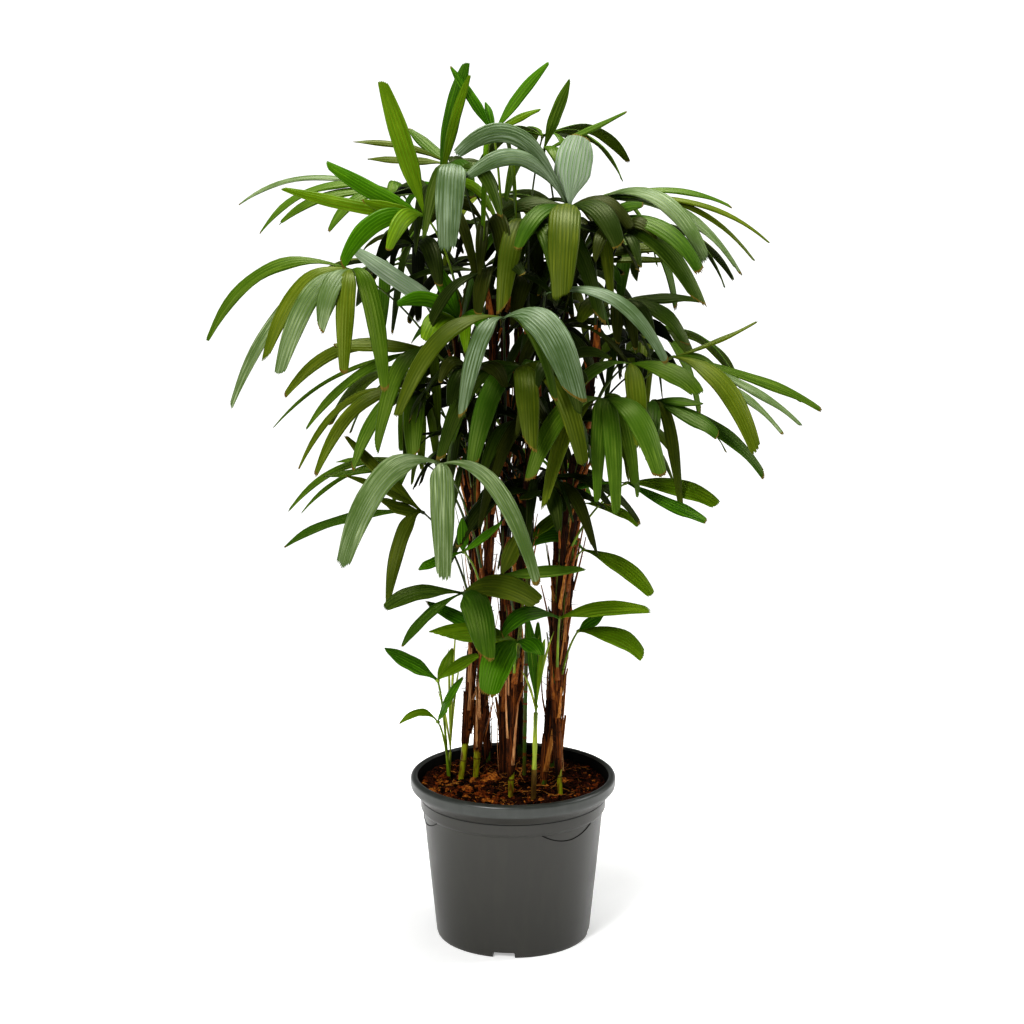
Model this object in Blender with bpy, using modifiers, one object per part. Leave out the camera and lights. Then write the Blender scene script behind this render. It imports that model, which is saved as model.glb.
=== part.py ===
"""A lady palm in a round nursery pot: canes with folded fans of leaflets.

The plant stands on the flat underside of its pot, whose middle is the origin.
Lengths are metres unless a name says cm or mm.  +X is to the right of the
plant's front, +Y is behind it and +Z is up.
"""

import math
from typing import NamedTuple

import bmesh
import bpy
from mathutils import Matrix, Vector
from mathutils.bvhtree import BVHTree

CM = 0.01
MM = 0.001
GAP = 0.3 * MM
PLANT_NAME = "lady_palm"

# pot, moulded in one piece, with a rolled lip and a stacking band under it
POT_HEIGHT = 0.227
POT_RIM_RADIUS = 0.140
POT_MOUTH_RADIUS = 0.1306
POT_FOOT_RADIUS = 0.105
POT_LIP_HEIGHT = 0.017
POT_BAND_RADIUS = 0.1268
POT_BAND_HEIGHT = 0.032
POT_BAND_STEP = 0.0035
POT_WALL = 0.0028
POT_FLOOR = 0.0115
POT_SIDES = 48
NOTCH_COUNT = 4
NOTCH_FIRST_DEG = -5.0
NOTCH_WIDTH = 0.030
NOTCH_HEIGHT = 0.008
NOTCH_DEPTH = 0.030
DRAIN_RADIUS = 0.008
DRAIN_FROM_AXIS = 0.083

# potting mix, level where the canes stand on it
SOIL_LEVEL = 0.212

# canes
CANE_FOOT_SHARE = 0.78
CANE_TOP_SHARE = 0.60
CANE_POINTS = 9
CANE_BEVEL = 2

# leaf stalks
STALK_BASE_RADIUS = 2.0 * MM
STALK_RADIUS = 1.5 * MM
STALK_KNOB_RADIUS = 4.2 * MM
STALK_POINTS = 6
STALK_BEVEL = 0
STALK_RISE = 1.15
STALK_LEAST_RISE = 0.07
STALK_LEAN = 0.35
STALK_LIFT = 0.72
STALK_SHIFTS_CM = (0, -2, 2, -4, 4, -7, 7)
STALK_BULGES_CM = (0, 1.5, -1.5, 3, -3)
STALK_SWINGS_DEG = (0, 35, -35, 80, -80)
STALK_SEAT_STEP = 0.12 * MM
STALK_SEAT_TRIES = 12

# leaflets: share of the full width at each share of the length
LEAFLET_OUTLINE = ((0.0, 0.16), (0.15, 0.50), (0.42, 0.96), (0.74, 0.94), (1.0, 0.48))
LEAFLET_LEAST_THICKNESS = 1.5 * MM
LEAFLET_THICKNESS_SHARE = 0.0115
LEAFLET_TURNS_DEG = (0, 4, -4, 8, -8, 13, -13)
LEAFLET_RAISES_CM = (0, 1.0, -1.0, 2.0, -2.0)
LEAFLET_FREE_FROM = 0.30
CLEARANCE = 0.5 * MM

TINTS = {
    "deep": (0.030, 0.075, 0.018),
    "mid": (0.055, 0.125, 0.022),
    "young": (0.085, 0.200, 0.020),
}


class Frond(NamedTuple):
    """One fan: its hub in cm, the way its upper side faces, and its leaflets.

    face is (heading from the front, elevation) in degrees.  Each leaflet is
    (right, back, up) from the hub to its tip in cm, its width in mm and the
    height of its arch in cm.
    """

    tint: str
    hub: tuple
    face: tuple
    leaflets: tuple


class Cane(NamedTuple):
    """One cane: foot (x, y), waist and top (x, y, z) in cm, thickness in mm."""

    name: str
    foot: tuple
    waist: tuple
    top: tuple
    thickness: float
    fronds: tuple


class Shoot(NamedTuple):
    """Young fans whose stalks rise together from the potting mix at foot, in cm."""

    name: str
    foot: tuple
    fronds: tuple


def fan(heading, count, reach, fall, width, spread=210):
    """Leaflets of an evenly opened fan, the middle ones longest and the outer ones lowest."""
    leaflets = []
    for index in range(count):
        share = index / (count - 1) - 0.5
        angle = math.radians(heading + spread * share)
        length = reach * (1.0 - 0.55 * share * share * 2)
        leaflets.append((
            length * math.sin(angle),
            -length * math.cos(angle),
            -fall * (0.75 + 1.1 * abs(share)) - (index % 2) * 1.2,
            width * (1.0 - 0.5 * abs(share)),
            2.2 + (index % 3) * 0.7,
        ))
    return tuple(leaflets)


CANES = (
    Cane("left", (-7.2, 0.7), (-5.0, 0.5, 50), (-6.5, -1.0, 86), 12, (
        Frond("mid", (-20.5, -10, 92.5), (0, 50), (
            (-18, -3, -8.5, 20, 5), (-10.5, -5, -10.5, 24, 2), (-8.5, -8, -12, 28, 0.5),
            (-14.5, -6, -16.5, 20, -1), (-3.5, -7, -6.5, 26, 1), (-0.5, -8, -12, 24, 1.5),
            (4.5, -6, -14.5, 24, 2))),
        Frond("young", (-11, -12, 99.5), (-10, 25), (
            (-5, -2, 16.5, 25, -3), (-12, -2, 6.5, 22, -2), (-17.5, -2, 3.5, 17, -1.5),
            (-7.5, -3, 2, 16, -0.5), (-10, -7, -5.5, 24, 2), (-4, -9, -3.5, 22, 2))),
        Frond("young", (-7, -6, 85.5), (-10, 45), (
            (-13, -4, 9.5, 26, -1.5), (-3, 0, 7.5, 20, -1), (-1, 2, 7.5, 14, -1),
            (-7.5, -7, 3, 20, 3), (-4, -8, -1.5, 28, 3))),
        Frond("mid", (-11, -4, 81.5), (-10, 50), (
            (-12, -3, 1, 20, 0.5), (-18.5, -3, -5.5, 20, 4), (-20.5, 2, -10.5, 8, -1.5),
            (-15.5, -5, -9.5, 14, -0.5), (-6.5, -8, -11.5, 22, 2))),
        Frond("mid", (-13, 2, 75), (-10, 50), (
            (-15.5, -2, -10, 11, 3), (-13, -6, -10, 20, 2.5), (-8, -7, -9, 20, 1),
            (0, -9, -7, 30, 2))),
    )),
    Cane("left_inner", (-5.2, 1.6), (-3.4, -0.8, 50), (-2.6, -3.0, 88), 12, (
        Frond("young", (-9.5, 0, 102), (0, 10), (
            (3.5, -1, 16, 22, 0), (4, -3, 14.5, 13, 0), (-3, -6, -6, 20, 2))),
        Frond("deep", (-7, -12, 105), (0, 60), (
            (-1, -8, -9, 36, 4), (-4, -3, -8, 18, 3), (5.5, -2, -5.5, 20, 3))),
        Frond("mid", (-9, -20, 69.5), (0, 60), (
            (-12, -6, -11.5, 38, 4.5), (0.5, -7, -13, 30, 2), (12, -6, -14, 24, 3))),
        Frond("young", (-6.5, -10, 56), (0, 40), (
            (0, 0, 5.5, 16, -1), (5, -3, 4.5, 12, -1), (-5.5, -6, -1, 15, 0))),
    )),
    Cane("middle", (-1.3, 2.9), (-1.0, 3.4, 52), (-1.2, 3.5, 95), 13, (
        Frond("young", (-2.5, -2, 109), (0, 30), (
            (-5.5, 1, 8.5, 14, -1), (7, 1, 9, 15, -0.5), (-1, 2, 4, 10, 0),
            (6, 2, 3, 10, 0.3), (-1.2, -9, -15.5, 30, 4), (3, -5, -11.5, 26, 4))),
        Frond("deep", (-8.5, 10, 104.5), (0, 50), (
            (-12.5, -2, 3, 11, 1.5), (-11, 2, 0.5, 14, 0.5), (-5.5, 5, 4.5, 18, -1),
            (3, -6, -4, 22, 2))),
        Frond("deep", (7, -6, 100), (0, 60), (
            (-14, -6, 6, 26, 10), (-12.5, -9, 4.5, 24, 8), (3, -9, 0, 48, 15),
            (-1, -12, -10, 40, 3.5), (-6.5, -8, -4.5, 24, 2))),
        Frond("deep", (-1.2, -15.8, 87.2), (0, 60), (
            (-13, -8, -11, 26, 2.5), (-5, -8, -11, 23, 1.5), (9, -8, -9, 44, 4.2),
            (6.5, -3.2, -10, 20, 2.4))),
    )),
    Cane("front", (-0.3, -5.9), (0.6, -6.2, 48), (3.2, -7.5, 76), 11, (
        Frond("mid", (-6.5, -14, 51.5), (0, 55), (
            (-9.7, -5, -0.7, 24, 2.2), (9.7, -5, 0, 34, 3.5), (3, -6, -7, 38, 2),
            (-7.5, -6, -5.5, 14, -1))),
        Frond("young", (0.5, -12, 44.5), (0, 55), (
            (-10, -6, 2.5, 32, 1.5), (-11.5, -2, 5.5, 22, -1), (-3.7, -6, -5.5, 42, 1.5),
            (3, -3, -1, 24, 1))),
        Frond("mid", (11.5, -10, 76), (15, 55), (
            (7, -8, -8.5, 34, 2), (-9.5, -8, -9, 26, 2.5), (-7.5, -4, -13, 24, 2))),
        Frond("deep", (4, -14, 90), (15, 65), (
            (15, -5, -8, 24, 3.5), (-2.5, -7, -10.5, 24, 2), (-8, -5, -9.5, 20, 2))),
        Frond("mid", (-1.5, -10.5, 53), (0, 50), (
            (10.3, -3, 1.7, 20, -0.2), (2.5, 2, 5.5, 22, -1), (-4, -6, -3, 18, 1))),
    )),
    Cane("right", (4.1, -1.4), (7.0, -0.5, 50), (11.0, 0, 82), 12, (
        Frond("deep", (10.5, -4, 97.5), (10, 60), (
            (13, -8, -5, 28, 4), (13, -7, -9, 30, 2), (6, -3, 3, 20, 1), (2, -6, -9, 18, 1))),
        Frond("mid", (11, 8, 100), (10, 60), (
            (14, -10, -7, 26, 5), (8.5, -5, 0.5, 18, 1.5), (18, 0, -1, 14, 3),
            (23, -2, -5.5, 12, 2), (19, -5, -9.5, 14, 3), (21, -3, -8, 12, 2.5),
            (18, -8, -8, 14, 1.5))),
        Frond("mid", (15, -6, 80), (10, 55), (
            (8.5, -6, -3, 30, 1), (1, -8, -7.5, 26, 2), (-9.5, -6, -7, 18, 2))),
        Frond("deep", (18.5, -2, 74.5), (10, 55), (
            (14.5, -2, -9.5, 24, -2), (8, -6, -3.5, 26, -1), (6, -3, 0, 16, 0.5),
            (10, 4, -7.5, 10, -1.5), (3.5, -4, -14.5, 18, 1), (-1, -9, -6, 24, 1))),
    )),
    Cane("right_front", (6.4, -5.5), (6.0, -5.0, 48), (8.0, -5.5, 68), 10, (
        Frond("mid", (21, 0, 80), (10, 55), (
            (19.5, -2, -6.7, 18, -2.2), (17.5, 3, -6.5, 12, -2), (16.5, -5, -8.3, 15, -2.5),
            (14, -7, -9, 13, -3), (7, 3, -3, 16, 1), (11.5, 5, 4, 8, -1.5),
            (10.5, -8, -12, 30, 0))),
        Frond("young", (15, -2, 63.5), (10, 50), (
            (11.5, -4, -2.3, 28, 1), (11, -7, -3.3, 20, -2), (-11, -4, -2.5, 9, 1))),
        Frond("young", (6.1, -7.5, 46.5), (5, 50), (
            (11.5, -3, 2, 24, 1.2), (-8, -6, -1.5, 22, 3))),
        Frond("mid", (8.7, -3, 43.5), (10, 50), (
            (8.5, -5, -2, 28, 1.5), (3.5, 2, 1.7, 16, 0))),
    )),
    Cane("right_inner", (5.3, 6.4), (6.2, 5.6, 55), (7.0, 6.0, 90), 13, (
        Frond("deep", (9.5, 0, 92.5), (10, 55), (
            (12, -3, 2, 18, 1.5), (13, 2, 0, 12, 0.5), (4.5, -4, -2.5, 16, 1))),
        Frond("mid", (4, 6, 106.5), (20, 40), (
            (3.5, 2, 9, 16, -1), (11, 1, 5, 9, -1), (2, -6, -1.5, 20, 2), (-5, -8, -6, 16, 3))),
        Frond("deep", (14, 4, 86.5), (10, 55), (
            (11, 2, 0.3, 20, 1.2), (9, -3, -5, 26, 1.5), (-5, -6, -2.7, 24, 2))),
        Frond("mid", (9.5, 2, 53.5), (10, 50), (
            (9, -5, -5, 26, -0.5), (-6.5, -5, 0, 22, 2))),
        Frond("young", (9.5, 4, 59.5), (10, 50), (
            (7.3, -3, -2.5, 14, 0.3), (-7, -6, -4.3, 18, -1.5), (-4, 4, 4, 18, -1))),
    )),
    Cane("left_back", (-3.5, 9.0), (-5.5, 11.0, 50), (-8.0, 13.0, 82), 10, (
        Frond("mid", (-15, 12, 100.5), (0, 60), (
            (-22, 0, -1.5, 12, 5), (-19, -3, -5, 16, 4.5), (-16, -4, -2.5, 18, 2.5),
            (-17, 4, -4.5, 14, 2), (-9.5, -6, -4.5, 18, 2), (-1, -6, -1.5, 20, 4))),
        Frond("deep", (-12, -4, 60), (-5, 50), (
            (-4.3, -6, -10.7, 20, 1), (-5.3, -3, 2, 22, -0.5), (-18, -2, -4.3, 16, 1),
            (-10, 2, 9.7, 18, -2), (-9.5, -6, 6, 10, 0))),
        Frond("mid", (-12, 4, 65), (-10, 50), (
            (-18, -3, -5.8, 12, 3), (-16.7, 2, -7.3, 9, 1), (-12, 3, -0.4, 9, 0.5),
            (-13, -6, -0.7, 12, 0), (3, -6, 2, 14, 1))),
        Frond("deep", (-17, 19, 90), (-140, 65), fan(-140, 8, 15, 7, 27, 270)),
        Frond("mid", (-13, 23, 74), (-150, 65), fan(-150, 8, 14, 6, 28, 270)),
    )),
    Cane("back", (1.0, 11.3), (0.5, 13.0, 55), (1.0, 15.0, 88), 11, (
        Frond("mid", (-3, 22, 99), (180, 65), fan(185, 8, 15, 7, 27, 270)),
        Frond("deep", (6, 26, 88), (170, 65), fan(165, 8, 14, 8, 28, 270)),
        Frond("mid", (4, 15, 108), (160, 60), fan(150, 7, 13, 4, 24, 240)),
        Frond("young", (1, 24, 62), (180, 60), fan(175, 7, 12, 5, 26, 240)),
    )),
    Cane("back_right", (5.3, 10.2), (8.3, 14.0, 50), (11.5, 18.0, 82), 11, (
        Frond("deep", (17, 18, 95), (130, 65), fan(120, 8, 14, 7, 27, 270)),
        Frond("mid", (19, 21, 80), (140, 65), fan(130, 8, 14, 7, 28, 270)),
        Frond("mid", (12, 24, 66), (150, 60), fan(152, 7, 13, 5, 26, 240)),
    )),
    Cane("slim", (1.5, 1.6), (1.9, -1.0, 50), (2.2, -2.5, 84), 7, (
        Frond("deep", (1, -9, 80), (0, 60), fan(5, 9, 12, 11, 30, 290)),
        Frond("deep", (2, -5, 98), (10, 60), fan(20, 9, 11, 12, 30, 300)),
    )),
)

SHOOTS = (
    Shoot("shoot_left", (-8.9, 1.2), (
        Frond("young", (-10, -7.5, 38), (-5, 50), (
            (-6.7, -2, 4.5, 22, 0), (5.5, -2, 4, 18, 0), (2, 2, 3.7, 16, -1))),
        Frond("young", (-10.1, -5, 31.5), (0, 60), (
            (-5, -1, 0, 11, 3), (1.8, -2, 3.4, 12, 0), (3.4, -1, 6.4, 12, 0))),
    )),
    Shoot("shoot_front", (2.7, -7.5), (
        Frond("young", (3.1, -7.8, 34.5), (0, 10), (
            (-1.2, 0, 12, 14, 0), (0.2, 2, 11, 12, 0), (1, -1, 9.5, 8, 0))),
    )),
)


class Obstacles:
    """Everything already placed, as surfaces that a new piece is tested against."""

    def __init__(self):
        """Start with nothing placed."""
        self.entries = []

    def add(self, owner, mesh):
        """Keep the mesh's surface under its owner's name."""
        self.entries.append((owner, surface(mesh), *corners(mesh)))

    def hits(self, mesh, without=""):
        """Say whether the mesh crosses anything that another owner placed."""
        tree = surface(mesh)
        low, high = corners(mesh)
        for owner, other, other_low, other_high in self.entries:
            if owner == without:
                continue
            apart = any(low[a] > other_high[a] or high[a] < other_low[a] for a in range(3))
            if not apart and tree.overlap(other):
                return True
        return False


def surface(mesh):
    """Return a search tree of the mesh's faces."""
    faces = [tuple(face.vertices) for face in mesh.polygons]
    return BVHTree.FromPolygons([v.co.copy() for v in mesh.vertices], faces)


def corners(mesh):
    """Return the mesh's lowest and highest corners."""
    points = [v.co for v in mesh.vertices]
    low = [min(p[a] for p in points) for a in range(3)]
    high = [max(p[a] for p in points) for a in range(3)]
    return low, high


def clear_scene():
    """Remove whatever objects the file opened with."""
    for thing in list(bpy.data.objects):
        bpy.data.objects.remove(thing, do_unlink=True)


def new_collection(name):
    """Make a collection under the scene's own."""
    collection = bpy.data.collections.new(name)
    bpy.context.scene.collection.children.link(collection)
    return collection


def material(name, colour, roughness):
    """Make a plain Principled material."""
    mat = bpy.data.materials.new(name)
    mat.use_nodes = True
    shader = mat.node_tree.nodes["Principled BSDF"]
    shader.inputs["Base Color"].default_value = (*colour, 1.0)
    shader.inputs["Roughness"].default_value = roughness
    return mat


def add_object(name, mesh, mat, collection):
    """Link a mesh as a named object with one material."""
    thing = bpy.data.objects.new(name, mesh)
    collection.objects.link(thing)
    if mat is not None:
        mesh.materials.clear()
        mesh.materials.append(mat)
    return thing


def evaluated_mesh(thing):
    """Return a new mesh of the object as its modifiers leave it."""
    bpy.context.view_layer.update()
    depsgraph = bpy.context.evaluated_depsgraph_get()
    return bpy.data.meshes.new_from_object(thing.evaluated_get(depsgraph))


def turned(name, profile, mat, collection):
    """Turn a closed (radius, height) profile about the Z axis."""
    mesh = bpy.data.meshes.new(name)
    points = [(radius, 0.0, height) for radius, height in profile]
    edges = [(i, i + 1) for i in range(len(points) - 1)]
    mesh.from_pydata(points, edges, [])
    thing = add_object(name, mesh, mat, collection)
    screw = thing.modifiers.new("Turn", "SCREW")
    screw.steps = POT_SIDES
    screw.render_steps = POT_SIDES
    screw.use_merge_vertices = True
    screw.merge_threshold = 0.00005
    return thing


def pot_profile():
    """Outer wall from top to bottom, then the inside from bottom to top."""
    band_foot = POT_HEIGHT - POT_LIP_HEIGHT - POT_BAND_HEIGHT
    wall_top = POT_BAND_RADIUS - POT_BAND_STEP
    inner_top = POT_MOUTH_RADIUS - 0.006
    return (
        (POT_MOUTH_RADIUS, POT_HEIGHT - 0.0012),
        (POT_MOUTH_RADIUS + 0.003, POT_HEIGHT),
        (POT_RIM_RADIUS - 0.003, POT_HEIGHT - 0.0012),
        (POT_RIM_RADIUS, POT_HEIGHT - 0.005),
        (POT_RIM_RADIUS, POT_HEIGHT - POT_LIP_HEIGHT + 0.001),
        (POT_RIM_RADIUS - 0.002, POT_HEIGHT - POT_LIP_HEIGHT),
        (POT_BAND_RADIUS, POT_HEIGHT - POT_LIP_HEIGHT),
        (POT_BAND_RADIUS - 0.001, band_foot + 0.003),
        (wall_top, band_foot),
        (POT_FOOT_RADIUS + 0.001, 0.004),
        (POT_FOOT_RADIUS - 0.002, 0.0),
        (0.0, 0.0),
        (0.0, POT_FLOOR),
        (POT_FOOT_RADIUS - 2 * POT_WALL, POT_FLOOR),
        (inner_top - POT_BAND_STEP, band_foot),
        (POT_MOUTH_RADIUS - 0.0015, POT_HEIGHT - POT_LIP_HEIGHT),
        (POT_MOUTH_RADIUS, POT_HEIGHT - 0.0012),
    )


def add_notch_cutters(collection):
    """Make the foot's drain notches and the holes that they lead to."""
    cutters = []
    for index in range(NOTCH_COUNT):
        angle = math.radians(NOTCH_FIRST_DEG + index * 360 / NOTCH_COUNT - 90)
        turn = Matrix.Rotation(angle, 4, "Z")
        length = NOTCH_DEPTH + 0.01
        middle = POT_FOOT_RADIUS + 0.006 - length / 2
        box = bmesh.new()
        bmesh.ops.create_cube(box, size=1.0)
        bmesh.ops.scale(box, vec=(length, NOTCH_WIDTH, 2 * NOTCH_HEIGHT), verts=box.verts)
        bmesh.ops.translate(box, vec=(middle, 0, 0), verts=box.verts)
        hole = bmesh.new()
        bmesh.ops.create_cone(
            hole, cap_ends=True, segments=10, radius1=DRAIN_RADIUS, radius2=DRAIN_RADIUS,
            depth=0.03)
        bmesh.ops.translate(hole, vec=(DRAIN_FROM_AXIS, 0, POT_FLOOR), verts=hole.verts)
        for kind, shape in (("notch", box), ("drain", hole)):
            bmesh.ops.transform(shape, matrix=turn, verts=shape.verts)
            mesh = bpy.data.meshes.new(f"{kind}_{index}")
            shape.to_mesh(mesh)
            shape.free()
            cutter = add_object(f"{kind}_cutter_{index}", mesh, None, collection)
            cutter.hide_render = True
            cutter.display_type = "WIRE"
            cutters.append(cutter)
    return cutters


def add_pot(parts, cutters):
    """Make the pot, its walls turned and its drains cut."""
    plastic = material("pot_plastic", (0.062, 0.068, 0.080), 0.48)
    pot = turned("pot", pot_profile(), plastic, parts)
    for cutter in add_notch_cutters(cutters):
        cut = pot.modifiers.new(cutter.name, "BOOLEAN")
        cut.operation = "DIFFERENCE"
        cut.object = cutter
    return pot


def add_soil(parts):
    """Make the potting mix, clear of the pot by the gap all round."""
    mix = material("potting_mix", (0.045, 0.022, 0.012), 0.95)
    band_foot = POT_HEIGHT - POT_LIP_HEIGHT - POT_BAND_HEIGHT
    step_radius = POT_MOUTH_RADIUS - 0.006 - POT_BAND_STEP
    side = 3 * GAP
    share = (SOIL_LEVEL - band_foot) / POT_BAND_HEIGHT
    top_radius = step_radius + (POT_MOUTH_RADIUS - 0.0015 - step_radius) * share
    profile = (
        (0.0, SOIL_LEVEL),
        (top_radius - side, SOIL_LEVEL),
        (step_radius - side, band_foot),
        (POT_FOOT_RADIUS - 2 * POT_WALL - side, POT_FLOOR + GAP),
        (0.0, POT_FLOOR + GAP),
    )
    return turned("soil", profile, mix, parts)


def tube_mesh(points, radii, bevel, grow=0.0):
    """Return a closed tube along the points, with a radius at each."""
    curve = bpy.data.curves.new("tube", "CURVE")
    curve.dimensions = "3D"
    curve.bevel_depth = 1.0
    curve.bevel_resolution = bevel
    curve.use_fill_caps = True
    spline = curve.splines.new("POLY")
    spline.points.add(len(points) - 1)
    for spot, point, radius in zip(spline.points, points, radii):
        spot.co = (*point, 1.0)
        spot.radius = radius + grow
    thing = bpy.data.objects.new("tube", curve)
    bpy.context.scene.collection.objects.link(thing)
    mesh = evaluated_mesh(thing)
    shape = bmesh.new()
    shape.from_mesh(mesh)
    bmesh.ops.remove_doubles(shape, verts=shape.verts, dist=0.00001)
    bmesh.ops.recalc_face_normals(shape, faces=shape.faces)
    shape.to_mesh(mesh)
    shape.free()
    bpy.data.objects.remove(thing, do_unlink=True)
    bpy.data.curves.remove(curve)
    return mesh


def bend(start, control, end, share):
    """Return the point at a share of the curve that leaves start towards control."""
    rest = 1.0 - share
    return rest * rest * start + 2 * rest * share * control + share * share * end


def cane_point(cane, share):
    """Return the cane's middle at a share of its height, by a curve through its waist."""
    foot = Vector((*cane.foot, SOIL_LEVEL / CM)) * CM
    waist = Vector(cane.waist) * CM
    top = Vector(cane.top) * CM
    height = foot.z + (top.z - foot.z) * share
    middle = (waist.z - foot.z) / (top.z - foot.z)
    control = (waist - (1 - middle) ** 2 * foot - middle ** 2 * top) / (2 * middle * (1 - middle))
    point = bend(foot, control, top, share)
    return Vector((point.x, point.y, height))


def cane_radius(cane, share):
    """Return the cane's radius: slimmer at its bare foot and at its tip."""
    full = cane.thickness * MM / 2
    if share < 0.12:
        return full * (CANE_FOOT_SHARE + (1 - CANE_FOOT_SHARE) * share / 0.12)
    return full * (1 - (1 - CANE_TOP_SHARE) * (share - 0.12) / 0.88)


def cane_mesh(cane, grow=0.0):
    """Return the cane's solid, cut flat just above the potting mix."""
    points = []
    radii = []
    for index in range(CANE_POINTS):
        share = index / (CANE_POINTS - 1)
        points.append(cane_point(cane, share))
        radii.append(cane_radius(cane, share))
    points[0].z = SOIL_LEVEL + GAP
    upright = Vector((points[0].x, points[0].y, points[0].z + 0.012))
    points.insert(1, upright)
    radii.insert(1, radii[0])
    return tube_mesh(points, radii, CANE_BEVEL, grow)


def stalk_start(cane, hub, shift, swing, seat):
    """Return where a stalk leaves its cane, its base's middle at seat from the cane's side."""
    foot_z = SOIL_LEVEL
    top_z = cane.top[2] * CM
    nearest = cane_point(cane, 0.8)
    run = (hub.xy - nearest.xy).length
    rise = max(STALK_RISE * run, STALK_LEAST_RISE)
    joint = min(max(hub.z - rise + shift, foot_z + 0.03), top_z - 0.01)
    share = (joint - foot_z) / (top_z - foot_z)
    core = cane_point(cane, share)
    away = (hub.xy - core.xy).normalized()
    away.rotate(Matrix.Rotation(swing, 2))
    clear = cane_radius(cane, share) + seat
    return Vector((core.x + away.x * clear, core.y + away.y * clear, core.z))


def stalk_points(start, hub, bulge):
    """Return the stalk's middle line from start to just past the hub."""
    run = hub - start
    across = Vector((-run.y, run.x, 0.0))
    if across.length > 1e-6:
        across.normalize()
    control = start + Vector((run.x * STALK_LEAN, run.y * STALK_LEAN, run.z * STALK_LIFT))
    control += across * bulge
    points = [bend(start, control, hub, i / (STALK_POINTS - 1)) for i in range(STALK_POINTS)]
    last = (points[-1] - points[-2]).normalized()
    points.insert(-1, hub - last * STALK_KNOB_RADIUS * 1.6)
    points.insert(-1, hub - last * STALK_KNOB_RADIUS * 0.7)
    points[-1] = hub + last * STALK_KNOB_RADIUS * 0.8
    return points


def stalk_mesh(points, grow=0.0):
    """Return the stalk's solid, with the knob that its leaflets spring from."""
    radii = []
    slim = len(points) - 3
    for index in range(slim):
        share = index / (slim - 1)
        radii.append(STALK_BASE_RADIUS + (STALK_RADIUS - STALK_BASE_RADIUS) * share)
    radii += [STALK_RADIUS * 1.2, STALK_KNOB_RADIUS, STALK_KNOB_RADIUS * 0.75]
    return tube_mesh(points, radii, STALK_BEVEL, grow)


def by_size(*choices):
    """Return every mix of the choices, the least changed first."""
    mixes = [()]
    for row in choices:
        mixes = [mix + (index,) for mix in mixes for index in range(len(row))]
    mixes.sort(key=lambda mix: (sum(mix), mix))
    return [tuple(row[i] for row, i in zip(choices, mix)) for mix in mixes]


def settle_stalk(name, cane, hub, placed):
    """Find the first way for the stalk that crosses nothing, or None."""
    for shift, bulge, swing in by_size(STALK_SHIFTS_CM, STALK_BULGES_CM, STALK_SWINGS_DEG):
        for step in range(STALK_SEAT_TRIES):
            seat = STALK_BASE_RADIUS / 2 + step * STALK_SEAT_STEP
            start = stalk_start(cane, hub, shift * CM, math.radians(swing), seat)
            points = stalk_points(start, hub, bulge * CM)
            trial = stalk_mesh(points, GAP)
            if not placed.hits(trial):
                placed.add(name, trial)
                return stalk_mesh(points)
    return None


def settle_shoot(name, foot, hub, placed):
    """Find a way for a young stalk from the potting mix to its hub, or None."""
    for bulge in STALK_BULGES_CM:
        points = stalk_points(foot, hub, bulge * CM)
        points.insert(1, foot + Vector((0, 0, 0.006)))
        trial = stalk_mesh(points, GAP)
        if not placed.hits(trial, name):
            placed.add(name, trial)
            return stalk_mesh(points)
    return None


def face_direction(face):
    """Return the unit way that a fan's upper side faces."""
    heading, elevation = (math.radians(angle) for angle in face)
    level = math.cos(elevation)
    return Vector((math.sin(heading) * level, -math.cos(heading) * level, math.sin(elevation)))


def leaflet_line(hub, tip, arch):
    """Return the start, control and end of a leaflet's middle line."""
    run = tip - hub
    if run.z >= 0:
        control = Vector((0.42 * run.x, 0.42 * run.y, 0.62 * run.z + arch))
    else:
        control = Vector((0.64 * run.x, 0.64 * run.y, arch))
    return hub, hub + control, tip


def leaflet_mesh(line, face, width, grow=0.0, start=0.0):
    """Return a closed blade: a flat top and a keel under its middle."""
    stations = [row for row in LEAFLET_OUTLINE if row[0] >= start]
    points = [bend(*line, share) for share, _ in LEAFLET_OUTLINE]
    length = sum((b - a).length for a, b in zip(points, points[1:]))
    thickness = max(LEAFLET_THICKNESS_SHARE * length, LEAFLET_LEAST_THICKNESS)
    shape = bmesh.new()
    across = None
    rings = []
    for share, part in stations:
        point = bend(*line, share)
        along = bend(*line, min(share + 0.02, 1.0)) - bend(*line, max(share - 0.02, 0.0))
        along.normalize()
        side = along.cross(face if across is None else across.cross(along))
        across = side.normalized()
        up = across.cross(along).normalized()
        half = across * (width * part / 2 + grow)
        depth = thickness * (0.65 if share == 1.0 else 1.0)
        keel = point - up * (depth + grow)
        top = point + up * grow
        rings.append([shape.verts.new(p) for p in (top - half, top + half, keel)])
    for ring, after in zip(rings, rings[1:]):
        for side_index in range(3):
            other = (side_index + 1) % 3
            corner = (ring[side_index], ring[other], after[other], after[side_index])
            shape.faces.new(corner)
    shape.faces.new(rings[0])
    shape.faces.new(rings[-1])
    bmesh.ops.triangulate(shape, faces=shape.faces)
    bmesh.ops.recalc_face_normals(shape, faces=shape.faces)
    mesh = bpy.data.meshes.new("leaflet")
    shape.to_mesh(mesh)
    shape.free()
    return mesh


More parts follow.
